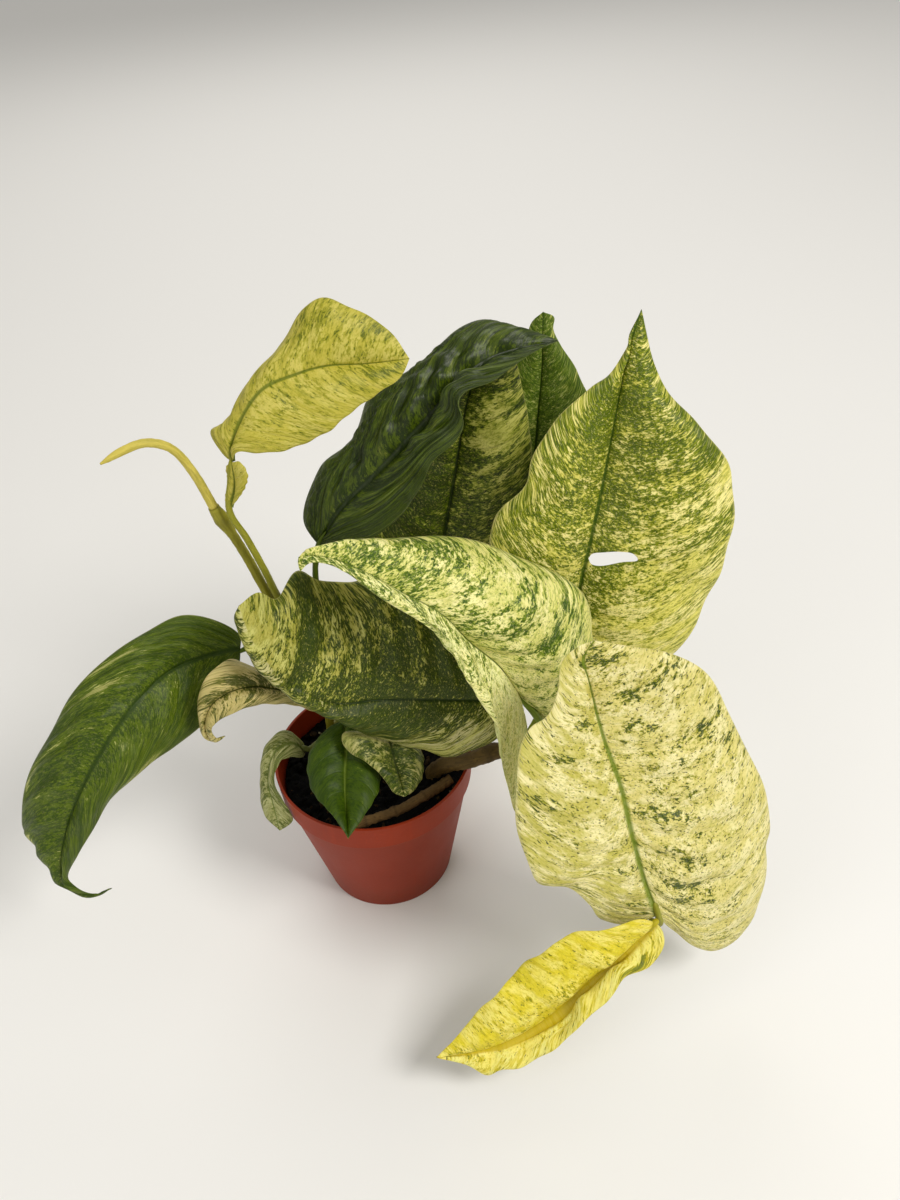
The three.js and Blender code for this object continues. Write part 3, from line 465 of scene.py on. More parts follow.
# The slit that has torn open beside the upright leaf's midrib: its outline from its left end along its lower
# edge and back along its upper edge, and how the cut leans back and is turned (radians)
SLIT = {
    "leaf": "leaf_upright_right", "centre": (107.2, 19, 156.4), "depth": 40, "lean": 0.87, "turn": -0.09,
    "outline": [(-9.2, 0), (-8, -2.2), (-4.4, -3), (3.6, -1.6), (10, -0.8), (8, 1.6), (3, 2.5), (-3, 2.4),
        (-8, 1.8)],
}

# Stems: a route, its radius at foot and end, where its nodes are, and how far they swell
STEM_FOOT = 24
STEMS = {
    "stem_climbing": {
        "slot": "green_stem", "radii": (3.4, 2.4), "nodes": (0.66, 0.78, 0.9), "swelling": 0.5,
        "route": [(8, 12, STEM_FOOT), (8, 12, MIX_LEVEL), (11, 15, 92), (17, 20.5, 116)],
    },
    "stem_trailing": {
        "slot": "brown_bark", "radii": (4, 2.5), "nodes": (0.42, 0.55, 0.68, 0.97), "swelling": 0.6,
        "route": [(24, -4, STEM_FOOT), (25, -6, 60), (32, -12, 74.5), (42, -15, 79), (56, -13, 81.5),
            (75, -24, 83), (92, -48, 77), (103, -69, 65), (107, -82, 53.5)],
    },
    "stem_shoot": {
        "slot": "green_stem", "radii": (2.1, 1.8), "nodes": (0.965,), "swelling": 1,
        "route": [(-20, 18, STEM_FOOT), (-20, 18, MIX_LEVEL), (-19, 15, 95), (-24, 11, 125.5),
            (-31.5, 8, 160), (-37, 5, 187.5), (-42.5, 0, 211.5)],
    },
    "stem_small": {
        "slot": "green_stem", "radii": (1.9, 1.6), "nodes": (0.9,), "swelling": 0.5,
        "route": [(-12, 12, STEM_FOOT), (-12, 12, MIX_LEVEL), (-12, 12, 88)],
    },
    "stem_old": {
        "slot": "old_bark", "radii": (1.9, 2.3), "nodes": (0.2, 0.45, 0.72), "swelling": 0.35,
        "route": [(-14, -36, MIX_LEVEL + 2), (-2, -32.5, MIX_LEVEL + 2.6), (11, -28, MIX_LEVEL + 2.4),
            (22, -22, MIX_LEVEL + 2.8), (29, -17.5, MIX_LEVEL + 3), (34, -15, MIX_LEVEL + 4.4)],
    },
}
ROLLED_LEAF_ROUTE = [(-42.6, -0.1, 211.9), (-45.5, -3, 228), (-49, -6, 239.5), (-52.5, -8.5, 244.5),
    (-57.5, -11, 247), (-64, -14, 246.5), (-71.5, -17, 244)]

# Skins of the stems by slot: name, colour, how dark its marks are, gloss, width of streaks, share of pores,
# and how uneven the stem is
STEM_SKINS = {
    "green_stem": ("stem_skin", "young_stem", 0.6, 0.42, 1.0, 0.25, 0.08),
    "brown_bark": ("trailing_bark", "brown_bark", 0.35, 0.6, 0.8, 0.6, 0.26),
    "old_bark": ("old_stem_bark", "old_bark", 0.4, 0.75, 0.7, 0.7, 0.16),
}


# Sizes and colours that a user may change
def linear(red, green, blue):
    """A colour given as 0 to 255 on a screen, in the linear values that materials use."""
    return tuple((value / 255) ** 2.2 for value in (red, green, blue))


def shaded(colour, share):
    """A colour made darker, or paler where the share is above 1."""
    return tuple(value * share for value in colour)


def length(name, description, default, least, most):
    """A property for a length, which is given in millimetres."""
    return FloatProperty(name=name, description=description, default=default * MM, min=least * MM,
                         max=most * MM, precision=5, subtype="DISTANCE", unit="LENGTH")


def tint(name, description, default):
    """A property for a colour."""
    return FloatVectorProperty(name=name, description=description, default=default, size=3, min=0, max=1,
                               subtype="COLOR")


class PlantSizes(bpy.types.PropertyGroup):
    """Sizes of the plant's finer surfaces."""

    blade_thickness: length("Blade thickness", "Thickness of a leaf between its veins", 0.42, 0.1, 1)
    rib_depth: length("Midrib groove", "How far the midrib is sunk into the upper face", 0.45, 0, 1)
    keel_height: length("Midrib keel", "How far the midrib stands out below", 0.9, 0, 2)
    mix_relief: length("Mix relief", "Unevenness of the potting mix's top", 0.9, 0, 2)
    blade_rows: IntProperty(
        name="Rows", description="Rows of points along a large leaf", default=128, min=24, max=200)
    blade_columns: IntProperty(
        name="Columns", description="Columns of points on each half of a large leaf", default=34, min=8,
        max=60)


class PlantColours(bpy.types.PropertyGroup):
    """Main colours of the plant and its pot."""

    pot: tint("Pot", "Terracotta-coloured plastic of the pot", linear(146, 49, 15))
    mix: tint("Potting mix", "Damp potting mix", linear(12, 11, 5))
    chip: tint("Bark chips", "Chips in the potting mix", linear(58, 44, 22))
    young_stem: tint("Young stem", "Green-yellow of the young stems", linear(152, 146, 46))
    brown_bark: tint("Brown bark", "Bark of the trailing stem", linear(98, 78, 38))
    old_bark: tint("Old bark", "Dry bark of the oldest stem", linear(108, 84, 48))
    floor: tint("Floor", "Plain pale floor under the pot", (0.86, 0.86, 0.85))


# Shader maths
# A fractal noise lies above 0.5 + SPREAD * ln((1 - share) / share) on about that share of a surface.
SPREAD = 0.062


def level(share):
    share = min(max(share, 0.002), 0.998)
    return 0.5 + SPREAD * math.log((1 - share) / share)


class Value:
    """One output in a material's nodes. Arithmetic on it adds Math nodes."""

    def __init__(self, finish, socket):
        self.finish = finish
        self.socket = socket

    def __add__(self, other):
        return self.finish.math("ADD", self, other)

    def __sub__(self, other):
        return self.finish.math("SUBTRACT", self, other)

    def __rsub__(self, other):
        return self.finish.math("SUBTRACT", other, self)

    def __mul__(self, other):
        return self.finish.math("MULTIPLY", self, other)

    def __truediv__(self, other):
        return self.finish.math("DIVIDE", self, other)

    def __rtruediv__(self, other):
        return self.finish.math("DIVIDE", other, self)

    __radd__ = __add__
    __rmul__ = __mul__

    def step(self, low, high):
        """0 below low, 1 above high and smooth between."""
        return self.finish.node("ShaderNodeMapRange", {"interpolation_type": "SMOOTHSTEP"},
                                {"Value": self, "From Min": low, "From Max": high})

    def cover(self, share, low, high):
        """1 on about a share of the surface, for a noise, with an edge from low to high beside its level."""
        return self.step(level(share) + low, level(share) + high)

    def absolute(self):
        return self.finish.math("ABSOLUTE", self)

    def fraction(self):
        return self.finish.math("FRACT", self)


class Finish:
    """A material under construction."""

    def __init__(self, name):
        self.material = bpy.data.materials.new(name)
        self.material.use_nodes = True
        self.nodes = self.material.node_tree.nodes
        self.links = self.material.node_tree.links
        self.nodes.clear()

    def node(self, kind, settings=None, inputs=None, output=0):
        """Adds a node: settings are set first, then its sockets get values or links. Gives one output."""
        made = self.nodes.new(kind)
        for key, value in (settings or {}).items():
            setattr(made, key, value)
        for key, value in (inputs or {}).items():
            if isinstance(value, Value):
                self.links.new(value.socket, made.inputs[key])
            else:
                made.inputs[key].default_value = value
        return Value(self, made.outputs[output])

    def math(self, operation, *values):
        return self.node("ShaderNodeMath", {"operation": operation}, dict(enumerate(values)))

    def vector(self, x, y, z):
        return self.node("ShaderNodeCombineXYZ", {}, {0: x, 1: y, 2: z})

    def split(self, vector):
        """The three numbers of a vector."""
        return [self.node("ShaderNodeSeparateXYZ", {}, {0: vector}, output=axis) for axis in range(3)]

    def attribute(self, name):
        """The three numbers of a point attribute."""
        return self.split(self.node("ShaderNodeAttribute", {"attribute_name": name}, output="Vector"))

    def object_place(self):
        return self.node("ShaderNodeTexCoord", {}, output="Object")

    def noise(self, place, scale=1.0, detail=2.0, roughness=0.5, distortion=0.0):
        return self.node("ShaderNodeTexNoise", {"noise_dimensions": "3D"}, {
            "Vector": place, "Scale": scale, "Detail": detail, "Roughness": roughness,
            "Distortion": distortion})

    def blend(self, share, first, second):
        """A colour between two colours."""
        settings = {"data_type": "RGBA", "blend_type": "MIX", "clamp_factor": True}
        first, second = (c if isinstance(c, Value) else (*c, 1) for c in (first, second))
        return self.node("ShaderNodeMix", settings, {0: share, 6: first, 7: second}, output=2)

    def bump(self, height, distance, strength):
        return self.node("ShaderNodeBump", {}, {"Height": height, "Distance": distance, "Strength": strength})

    def close(self, **inputs):
        """Adds the Principled shader and the output. A _ stands for a space in a socket's name."""
        named = {key.replace("_", " "): value for key, value in inputs.items()}
        shader = self.node("ShaderNodeBsdfPrincipled", {}, named)
        output = self.nodes.new("ShaderNodeOutputMaterial")
        self.links.new(shader.socket, output.inputs["Surface"])
        return self.material


def leaf_finish(name, look, seed):
    """Marbling in small blots along the side veins, with the midrib, the veins and a paler underside."""
    finish = Finish(name)
    blend = finish.blend
    vein_place, across, bias = finish.attribute("leaf_vein")
    along, reach, under = finish.attribute("leaf_place")

    def blots(kind):
        width, long, shift, detail, distortion = BLOTS[kind]
        size = look["grain"]
        place = finish.vector(vein_place * (1 / (width * size)), across * (1 / (long * size)), seed + shift)
        return finish.noise(place, detail=detail, roughness=BLOT_ROUGHNESS, distortion=distortion)

    # How green each place is, about 0.5 in the middle
    fine, middle, cluster, band = (blots(kind) for kind in ("fine", "middle", "cluster", "band"))
    mottle = fine * 0.8 + middle * 0.6 + cluster * 0.35 + band * (look["bands"] * 0.8)
    amount = mottle - (0.375 + look["bands"] * 0.4) + bias * 0.09

    # The pale ground, shaded beside the green
    pale = look["pale"]
    # The left half's own pale colour; on the diagonal front leaf it is partly painted light, on the cream
    # right leaf painted shade.
    if look["pale_left_and_painted_light"]:
        pale = blend(reach.step(-0.02, 0.02), linear(*look["pale_left_and_painted_light"]), pale)
    pale = blend(blots("cloud").step(0.4, 0.6), pale, look["glow"])
    soft = middle * 0.5 + blots("soft") * 0.5
    pale = blend(soft.cover(look["soft"], -0.03, 0.04) * 0.7, pale, look["shade"])
    pale = blend(amount.cover(look["green"], -0.09, -0.02) * 0.55, pale, look["shade"])

    # The green ground with its dark marks and pale islands
    half_green = tuple((fresh + deep) / 2 for fresh, deep in zip(look["fresh"], look["deep"]))
    grown = blend(blots("half_tone").step(0.4, 0.6) * 0.45, look["fresh"], half_green)
    marks = (blots("dark") - 0.5) * 0.8 + amount
    grown = blend(marks.cover(look["dark"], -0.025, 0.03) * 0.95, grown, look["deep"])
    if look["islands"]:
        island = blots("island") * 0.7 + middle * 0.3
        grown = blend(island.cover(look["islands"], -0.015, 0.02) * 0.75, grown, look["pale"])
    colour = blend(amount.cover(look["green"], -0.02, 0.02), pale, grown)

    # Dark flecks, and a crackle of small lights and darks over all
    if look["flecks"]:
        spots = blots("fleck") * 0.8 + middle * 0.2
        colour = blend(spots.cover(look["flecks"], -0.008, 0.015) * 0.9, colour, look["speck"])
    crackle = blots("crackle")
    colour = blend(crackle.step(0.5, 0.64) * look["speckle"], colour, look["fresh"])
    colour = blend((1 - crackle).step(0.52, 0.66) * (look["speckle"] * 0.5), colour, look["glow"])

    # Side veins, midrib, margin and underside
    vein_phase = vein_place * (look["veins"] / look["length"]) + reach.step(-0.01, 0.01) * VEIN_OFFSET
    vein_line = (vein_phase.fraction() - 0.5).absolute().step(0.43, 0.5)
    colour = blend(vein_line * look["vein_line"], colour, look["deep"])
    rib_width = look["rib_width"] * (1.25 - along)
    rib_fade = 1 - along.step(look["rib_end"], look["rib_end"] + 0.25)
    rib = (1 - (across.absolute() / rib_width).step(0.3, 1.15)) * rib_fade
    colour = blend(rib * 0.85, colour, look["rib"])
    colour = blend(reach.absolute().step(0.975, 1.0) * 0.35, colour, look["glow"])
    colour = blend(under, colour, blend(0.4, colour, linear(*UNDERSIDE)))

    grain = finish.noise(finish.vector(vein_place * 2.2, across * 1.6, seed), detail=3, roughness=0.6)
    normal = finish.bump(grain * 0.5 + fine * 0.6 - vein_line * 0.7, 0.2 * MM, 0.8)
    rough = look["gloss"] + 0.14 * grain + 0.16 * under - 0.07
    return finish.close(Base_Color=colour, Roughness=rough, Normal=normal, Specular_IOR_Level=look["shine"],
                        Subsurface_Weight=0.1, Subsurface_Radius=(0.6, 0.9, 0.25), Subsurface_Scale=0.8 * MM)


def stem_finish(name, colour, darker, gloss, streak, pores):
    """Skin of a stem or stalk: lengthwise streaks, darker rings and small pores."""
    finish = Finish(name)
    around, along, node = finish.attribute("stem_place")
    place = finish.vector(around * (1 / streak), along * (0.16 / streak), 3.1)
    lines = finish.noise(place, detail=4, roughness=0.6, distortion=0.3)
    patches = finish.noise(finish.object_place(), scale=90, detail=3)
    dots = finish.noise(finish.object_place(), scale=900)
    shade = finish.blend(lines.step(0.35, 0.7) * 0.6, colour, darker)
    shade = finish.blend(patches.step(0.45, 0.7) * 0.35, shade, darker)
    shade = finish.blend(node.step(0.35, 1.0) * 0.5, shade, darker)
    shade = finish.blend(dots.step(0.62, 0.7) * pores, shade, darker)
    normal = finish.bump(lines + dots * 0.4, 0.25 * MM, 0.6)
    return finish.close(Base_Color=shade, Roughness=gloss + 0.2 * patches, Normal=normal,
                        Specular_IOR_Level=0.3)


def pot_finish(colour):
    """Thin moulded plastic: faint flow marks, specks, a dusty foot, and painted shade on the wall under the
    rim band.
    """
    finish = Finish("pot_plastic")
    place = finish.object_place()
    x, y, z = finish.split(place)
    cloud = finish.noise(place, scale=28, detail=4)
    speckle = finish.noise(place, scale=700)
    streak = finish.noise(finish.vector(x * 180, y * 180, z * 22), detail=3)
    dust = finish.noise(place, scale=140, detail=5, roughness=0.7) * (1 - z.step(0.0, 0.05))
    paler, darker = shaded(colour, 1.4), shaded(colour, 0.62)
    shade = finish.blend(cloud.step(0.35, 0.7) * 0.35, colour, darker)
    shade = finish.blend(speckle.step(0.58, 0.7) * 0.25, shade, paler)
    shade = finish.blend(streak.step(0.55, 0.75) * 0.25, shade, paler)
    shade = finish.blend(dust.step(0.3, 0.55) * 0.25, shade, linear(96, 58, 36))
    # Painted shade: the wall below the rim band is darkened to stand for the shade that falls on it there.
    painted_shade_under_band = 1 - z.step(BAND_FOOT * MM - 0.4 * MM, BAND_FOOT * MM)
    shade = finish.blend(painted_shade_under_band * 0.4, shade, darker)
    normal = finish.bump(speckle + cloud * 0.6, 0.08 * MM, 0.5)
    rough = 0.38 + 0.22 * cloud + 0.1 * streak
    return finish.close(Base_Color=shade, Roughness=rough, Normal=normal, Specular_IOR_Level=0.25)


def mix_finish(name, colour, paler, share):
    """Damp potting mix, or the chips in it."""
    finish = Finish(name)
    place = finish.object_place()
    crumbs = finish.noise(place, scale=420, detail=6, roughness=0.7)
    clods = finish.noise(place, scale=80, detail=3)
    shade = finish.blend(clods.step(0.35, 0.7), shaded(colour, 0.45), colour)
    shade = finish.blend(crumbs.cover(share, -0.02, 0.04), shade, paler)
    normal = finish.bump(crumbs + clods * 0.4, 1.2 * MM, 0.9)
    return finish.close(Base_Color=shade, Roughness=0.76 + 0.2 * crumbs, Normal=normal,
                        Specular_IOR_Level=0.15)


# Curves
def points(numbers):
    return np.array(numbers, float) * MM


def unit(vectors):
    return vectors / np.maximum(np.linalg.norm(vectors, axis=-1, keepdims=True), 1e-12)


def turns_round(sides):
    """Angles at even distances round a circle."""
    return np.arange(sides) * 2 * math.pi / sides


def circle(sides):
    """Places at even distances round a circle of radius 1."""
    turns = turns_round(sides)
    return np.stack([np.cos(turns), np.sin(turns)], axis=-1)


def ridge(apart, width):
    """A smooth ridge: 1 at its middle, and near 0 from twice its width on."""
    return np.exp(-(apart / width) ** 2)


def late(share, start, span):
    """0 up to a start, and from there growing to 1 over a span."""
    return np.clip((share - start) / span, 0, 1) ** 2


def walked(curve):
    """How far along a curve each of its points lies."""
    return np.concatenate([[0], np.cumsum(np.linalg.norm(np.diff(curve, axis=0), axis=1))])


def smooth_route(route, steps):
    """A centripetal Catmull-Rom curve through the points, as steps + 1 points at even distances."""
    ends = np.vstack([2 * route[0] - route[1], route, 2 * route[-1] - route[-2]])
    drawn = []
    for before, start, end, after in zip(ends, ends[1:], ends[2:], ends[3:]):
        pairs = (before, start), (start, end), (end, after)
        knots = np.cumsum([0, *(math.sqrt(max(np.linalg.norm(b - a), 1e-9)) for a, b in pairs)])
        t = np.linspace(knots[1], knots[2], SPAN_POINTS)[:, None]

        def between(low, high, first, second):
            return ((knots[high] - t) * first + (t - knots[low]) * second) / (knots[high] - knots[low])

        first, middle, last = (between(k, k + 1, *pair) for k, pair in enumerate(pairs))
        drawn.append(between(1, 2, between(0, 2, first, middle), between(1, 3, middle, last))[:-1])
    drawn = np.vstack([*drawn, route[-1:]])
    far = walked(drawn)
    wanted = np.linspace(0, far[-1], steps + 1)
    return np.stack([np.interp(wanted, far, drawn[:, axis]) for axis in range(3)], axis=1)


def rumple(place, size, seed, layers=7):
    """Smooth seeded unevenness, mostly between -1 and 1: waves in mixed directions, about size apart."""
    draw = random.Random(seed)
    total = np.zeros(place.shape[:-1])
    for _ in range(layers):
        direction = np.array([draw.gauss(0, 1) for _ in range(3)])
        direction *= 2 * math.pi / (size * draw.uniform(0.6, 1.6) * np.linalg.norm(direction))
        total += np.sin(place @ direction + draw.uniform(0, 2 * math.pi))
    return total / math.sqrt(layers)


# Meshes
# Point attributes that the materials read
SURFACE_PLACES = ("leaf_vein", "leaf_place", "stem_place")


def set_in_scene(name, data):
    """A new object in the scene."""
    thing = bpy.data.objects.new(name, data)
    bpy.context.scene.collection.objects.link(thing)
    return thing


def set_attribute(mesh, name, rows):
    """Gives each point of a mesh three numbers, in place of those that it has."""
    if name in mesh.attributes:
        mesh.attributes.remove(mesh.attributes[name])
    mesh.attributes.new(name, "FLOAT_VECTOR", "POINT").data.foreach_set("vector", rows.ravel())


def rework(mesh, change):
    """Makes one change to the points and faces of a mesh."""
    work = bmesh.new()
    work.from_mesh(mesh)
    change(work)
    work.to_mesh(mesh)
    work.free()
    mesh.update()


def merge_points(work):
    """Joins points that lie on each other, such as those at a blade's pointed ends."""
    bmesh.ops.remove_doubles(work, verts=work.verts, dist=JOINED * MM)
    bmesh.ops.dissolve_degenerate(work, edges=work.edges, dist=TOO_SHORT * MM)


def turn_outward(work):
    bmesh.ops.recalc_face_normals(work, faces=work.faces)


class Shape:
    """Vertices, faces, the material of each face and point attributes, gathered for one mesh."""

    def __init__(self):
        self.vertices = []
        self.faces = []
        self.finishes = []
        self.attributes = {}
        self.count = 0

    def add(self, vertices, faces, finish=0, **attributes):
        self.vertices.append(np.asarray(vertices, float).reshape(-1, 3))
        self.faces.extend([tuple(self.count + i for i in face) for face in faces])
        self.finishes.extend([finish] * len(faces))
        for name, values in attributes.items():
            block = (self.count, np.asarray(values, float).reshape(-1, 3))
            self.attributes.setdefault(name, []).append(block)
        self.count += len(self.vertices[-1])

    def make(self, name, node, materials):
        """Makes the piece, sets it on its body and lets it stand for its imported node."""
        mesh = bpy.data.meshes.new(name)
        mesh.from_pydata(np.vstack(self.vertices).tolist(), [], self.faces)
        mesh.polygons.foreach_set("material_index", self.finishes)
        mesh.polygons.foreach_set("use_smooth", [True] * len(self.faces))
        for key, blocks in self.attributes.items():
            values = np.zeros((self.count, 3))
            for start, rows in blocks:
                values[start:start + len(rows)] = rows
            set_attribute(mesh, key, values)
        for material in materials:
            mesh.materials.append(material)
        mesh.validate()
        mesh.update()
        piece = set_in_scene(name, mesh)
        rework(mesh, merge_points)
        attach(piece, "root")
        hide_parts(node)
        return piece


def grid_faces(rows, columns, closed=False):
    """Quads over a grid of rows + 1 by columns + 1 points. A closed grid has columns points round it."""
    wide = columns if closed else columns + 1
    faces = []
    for i in range(rows):
        for j in range(columns):
            k = (j + 1) % wide
            faces.append((i * wide + j, i * wide + k, (i + 1) * wide + k, (i + 1) * wide + j))
    return faces


def add_tube(shape, centres, radii, sides, finish=0, node_at=(), rough=0.0, seed=0, roll=0.0):
    """A closed round tube along the centres, with end caps. rough is how uneven its skin is, in metres, and
    roll how far its radius drops round a turn, as in a rolled-up sheet."""
    steps = len(centres) - 1
    tangents = unit(np.gradient(centres, axis=0))
    across = np.array([1.0, 0.0, 0.0])
    turns, ring = turns_round(sides), circle(sides)
    rings = []
    for i, (centre, tangent, radius) in enumerate(zip(centres, tangents, radii)):
        across = unit(across - tangent * (across @ tangent))
        beside = np.cross(tangent, across)
        wound = 1 - roll * ((turns / (2 * math.pi) + 0.55 * i / steps) % 1)
        drawn = ring[:, :1] * across + ring[:, 1:] * beside
        rings.append(centre + radius * wound[:, None] * drawn)
    rings = np.array(rings)
    outward = unit(rings - centres[:, None])
    rings = rings + outward * (rough * rumple(rings, 2.5 * MM, seed)[..., None])
    far = walked(centres) / MM
    near_node = sum((ridge(far / far[-1] - at, 0.015) for at in node_at), np.zeros(steps + 1))
    place = np.zeros((steps + 1, sides, 3))
    place[..., 0] = ring[:, 0] * (np.asarray(radii)[:, None] / MM) * 2
    place[..., 1] = far[:, None]
    place[..., 2] = near_node[:, None]
    vertices = np.concatenate([rings.reshape(-1, 3), centres[:1], centres[-1:]])
    places = np.concatenate([place.reshape(-1, 3), place[:1, 0], place[-1:, 0]])
    faces = grid_faces(steps, sides, closed=True)
    foot, end, last = (steps + 1) * sides, (steps + 1) * sides + 1, steps * sides
    for k in range(sides):
        after = (k + 1) % sides
        faces += [(foot, after, k), (end, last + k, last + after)]
    shape.add(vertices, faces, finish, stem_place=places)


def prism(outline, depth):
    """Points and faces of a closed prism over an outline in the XY plane, centred on it."""
    count = len(outline)
    rings = [np.column_stack([outline, np.full(count, height)]) for height in (-depth / 2, depth / 2)]
    sides = [(k, (k + 1) % count, count + (k + 1) % count, count + k) for k in range(count)]
    caps = [tuple(range(count))[::-1], tuple(range(count, 2 * count))]
    return np.vstack(rings), sides + caps


def make_cutter(vertices, faces):
    mesh = bpy.data.meshes.new("cutter")
    mesh.from_pydata((vertices * MM).tolist(), [], faces)
    rework(mesh, turn_outward)
    return set_in_scene("cutter", mesh)


def cut_away(piece, cutter):
    """Cuts the cutter out of a piece. New points take their attributes from the nearest old one."""
    old = piece.data
    tree = kdtree.KDTree(len(old.vertices))
    for vertex in old.vertices:
        tree.insert(vertex.co, vertex.index)
    tree.balance()
    kept = {key: np.zeros(len(old.vertices) * 3) for key in SURFACE_PLACES if key in old.attributes}
    for key, values in kept.items():
        old.attributes[key].data.foreach_get("vector", values)
    modifier = piece.modifiers.new("cut", "BOOLEAN")
    modifier.operation = "DIFFERENCE"
    modifier.solver = "EXACT"
    modifier.object = cutter
    bpy.context.view_layer.update()
    cut = bpy.data.meshes.new_from_object(piece.evaluated_get(bpy.context.evaluated_depsgraph_get()))
    if not cut.vertices:
        raise RuntimeError(f"nothing is left of {piece.name} after the cut")
    piece.modifiers.clear()
    piece.data = cut
    bpy.data.objects.remove(cutter)
    nearest = [tree.find(vertex.co)[1] for vertex in cut.vertices]
    for key, values in kept.items():
        set_attribute(cut, key, values.reshape(-1, 3)[nearest])


# Leaves
def half_steps(columns, bend=1.35):
    """Places across a blade from -1 at the left margin to 1 at the right, closer together at the midrib."""
    steps = (np.arange(columns + 1) / columns) ** bend
    return np.concatenate([-steps[::-1], steps[1:]])


def vein_start(along, reach, sweep):
    """Where on the midrib the side vein through a place starts. Side veins curve towards the tip."""
    lead = sweep * reach ** 1.7
    return (along - lead) / (1 - lead)


def crease_depth(along, across, look, half_width):
    """How far the blade's folds press in at each place. half_width is in millimetres."""
    depth = np.zeros_like(along)
    stretch = np.array([look["length"], half_width])
    place = np.stack([along, across], axis=-1) * stretch
    for t0, s0, t1, s1, width, deep in look["creases"]:
        start, end = np.array([t0, s0]) * stretch, np.array([t1, s1]) * stretch
        line = end - start
        share = np.clip(((place - start) @ line) / (line @ line), 0, 1)
        apart = np.linalg.norm(place - start - share[..., None] * line, axis=-1)
        depth += deep * MM * ridge(apart, width) * np.sin(math.pi * (0.12 + 0.76 * share))
    return depth


def blade_surface(route, look, along, across):
    """Points of a blade's middle surface for places given along and across it, with puffed halves, a waved
    margin and small scallops along it."""
    grid = np.linspace(0, 1, BLADE_STEPS + 1)
    rib = smooth_route(points(route["mid"]), BLADE_STEPS)
    margins = [smooth_route(np.vstack([rib[:1], points(route[side]), rib[-1:]]), BLADE_STEPS)
               for side in ("left", "right")]

    def at(curve):
        return np.stack([np.interp(along, grid, curve[:, axis]) for axis in range(3)], axis=-1)

    centre = at(rib)
    tangent = unit(at(unit(np.gradient(rib, axis=0))))
    right = (across >= 0)[..., None]
    lateral = np.where(right, at(margins[1]), at(margins[0])) - centre
    reach = np.abs(across)[..., None]
    along = along[..., None]
    upper = unit(np.cross(lateral, tangent) * np.where(right, 1, -1))
    waves, wave_height, phase = route["wave"]
    side = right * 1.7
    swell = np.sin(math.pi * along)
    puff = np.where(right, route["belly"][1], route["belly"][0]) * MM * swell * 4 * reach * (1 - reach)
    ripple = wave_height * MM * swell * reach ** 3 * np.sin(2 * math.pi * waves * along + phase + side)
    arm = np.maximum(np.linalg.norm(lateral, axis=-1, keepdims=True), 4 * MM)
    bow = look["scallop"] * MM * np.sin(2 * math.pi * SCALLOPS * along + phase + 2 * side)
    return centre + lateral * reach * (1 + bow * swell * reach ** 6 / arm) + upper * (puff + ripple)


def surface_normals(surface):
    """Upward normals of a blade's grid. The pointed ends borrow those beside them."""
    normals = unit(np.cross(np.gradient(surface, axis=1), np.gradient(surface, axis=0)))
    middle = surface.shape[1] // 2
    normals[0] = normals[1, middle]
    normals[-1] = normals[-2, middle]
    return normals


def add_blade(shape, route, look, sizes, seed):
    """A closed blade: pleats, a sunken midrib, a keel and raised veins below it, and thin margins."""
    fewer = 2 if look["length"] < SMALL_LEAF else 1
    rows, half = sizes.blade_rows // fewer, sizes.blade_columns // fewer
    along, across = np.meshgrid(np.linspace(0, 1, rows + 1), half_steps(half), indexing="ij")
    surface = blade_surface(route, look, along, across)
    normals = surface_normals(surface)
    reach = np.abs(across)
    swell = np.clip(np.sin(math.pi * along), 0, 1)
    aside = np.linalg.norm(surface - surface[:, half:half + 1], axis=-1) * np.sign(across)

    # Relief of the whole blade
    start = vein_start(along, reach, look["sweep"])
    phase = start * look["veins"] + np.where(across > 0, VEIN_OFFSET, 0)
    quilt = (0.5 - 0.5 * np.cos(2 * math.pi * (phase - 0.5))) ** 0.8
    fade = np.clip(reach * 3.5, 0, 1) * (1 - reach ** 5) * np.sqrt(swell)
    pleat = np.where(across < 0, *look["pleat"]) * MM
    half_width = 0.8 * np.abs(aside).max() / MM
    relief = pleat * (0.5 - quilt) * fade - crease_depth(along, across, look, half_width) * np.sqrt(swell)
    relief += look["crumple"] * MM * 0.5 * rumple(surface, CRUMPLE_SIZE * MM, seed) * fade
    relief += look["pucker"] * MM * rumple(surface, PUCKER_SIZE * MM, seed + 1) * fade

    # Both faces
    taper = 1 - 0.75 * along
    groove = sizes.rib_depth * taper * ridge(aside, 0.8 * MM * taper + 0.15 * MM)
    keel = sizes.keel_height * taper * ridge(aside, 0.75 * MM * taper + 0.15 * MM) * (1 - 0.6 * reach)
    veins_below = 0.18 * MM * ridge(phase - np.round(phase), 0.07) * fade
    thickness = sizes.blade_thickness * (1 - 0.55 * reach ** 6) / 2
    top = surface + normals * (relief - groove + thickness)[..., None]
    bottom = surface + normals * (relief - groove * 0.5 - keel - veins_below - thickness)[..., None]
    columns = 2 * half
    wide = columns + 1
    under = (rows + 1) * wide
    faces = grid_faces(rows, columns)
    faces += [tuple(under + v for v in face[::-1]) for face in faces]
    for i in range(rows):
        left, right = i * wide, i * wide + columns
        faces.append((left, left + wide, under + left + wide, under + left))
        faces.append((right, under + right, under + right + wide, right + wide))

    # What the material reads at each point
    bias = np.zeros_like(along)
    for t, s, dt, ds, amount in look["patches"]:
        centre = vein_start(t, abs(s), look["sweep"])
        bias += amount * np.exp(-((start - centre) / dt) ** 2 - ((across - s) / ds) ** 2)
    vein = np.stack([start * look["length"], aside / MM, bias], axis=-1)
    place = np.stack([along, across, np.zeros_like(along)], axis=-1)
    shape.add([top, bottom], faces, leaf_vein=[vein, vein], leaf_place=[place, place + (0, 0, 1)])


def route_length(route):
    return float(walked(smooth_route(points(route), 100))[-1] / MM)


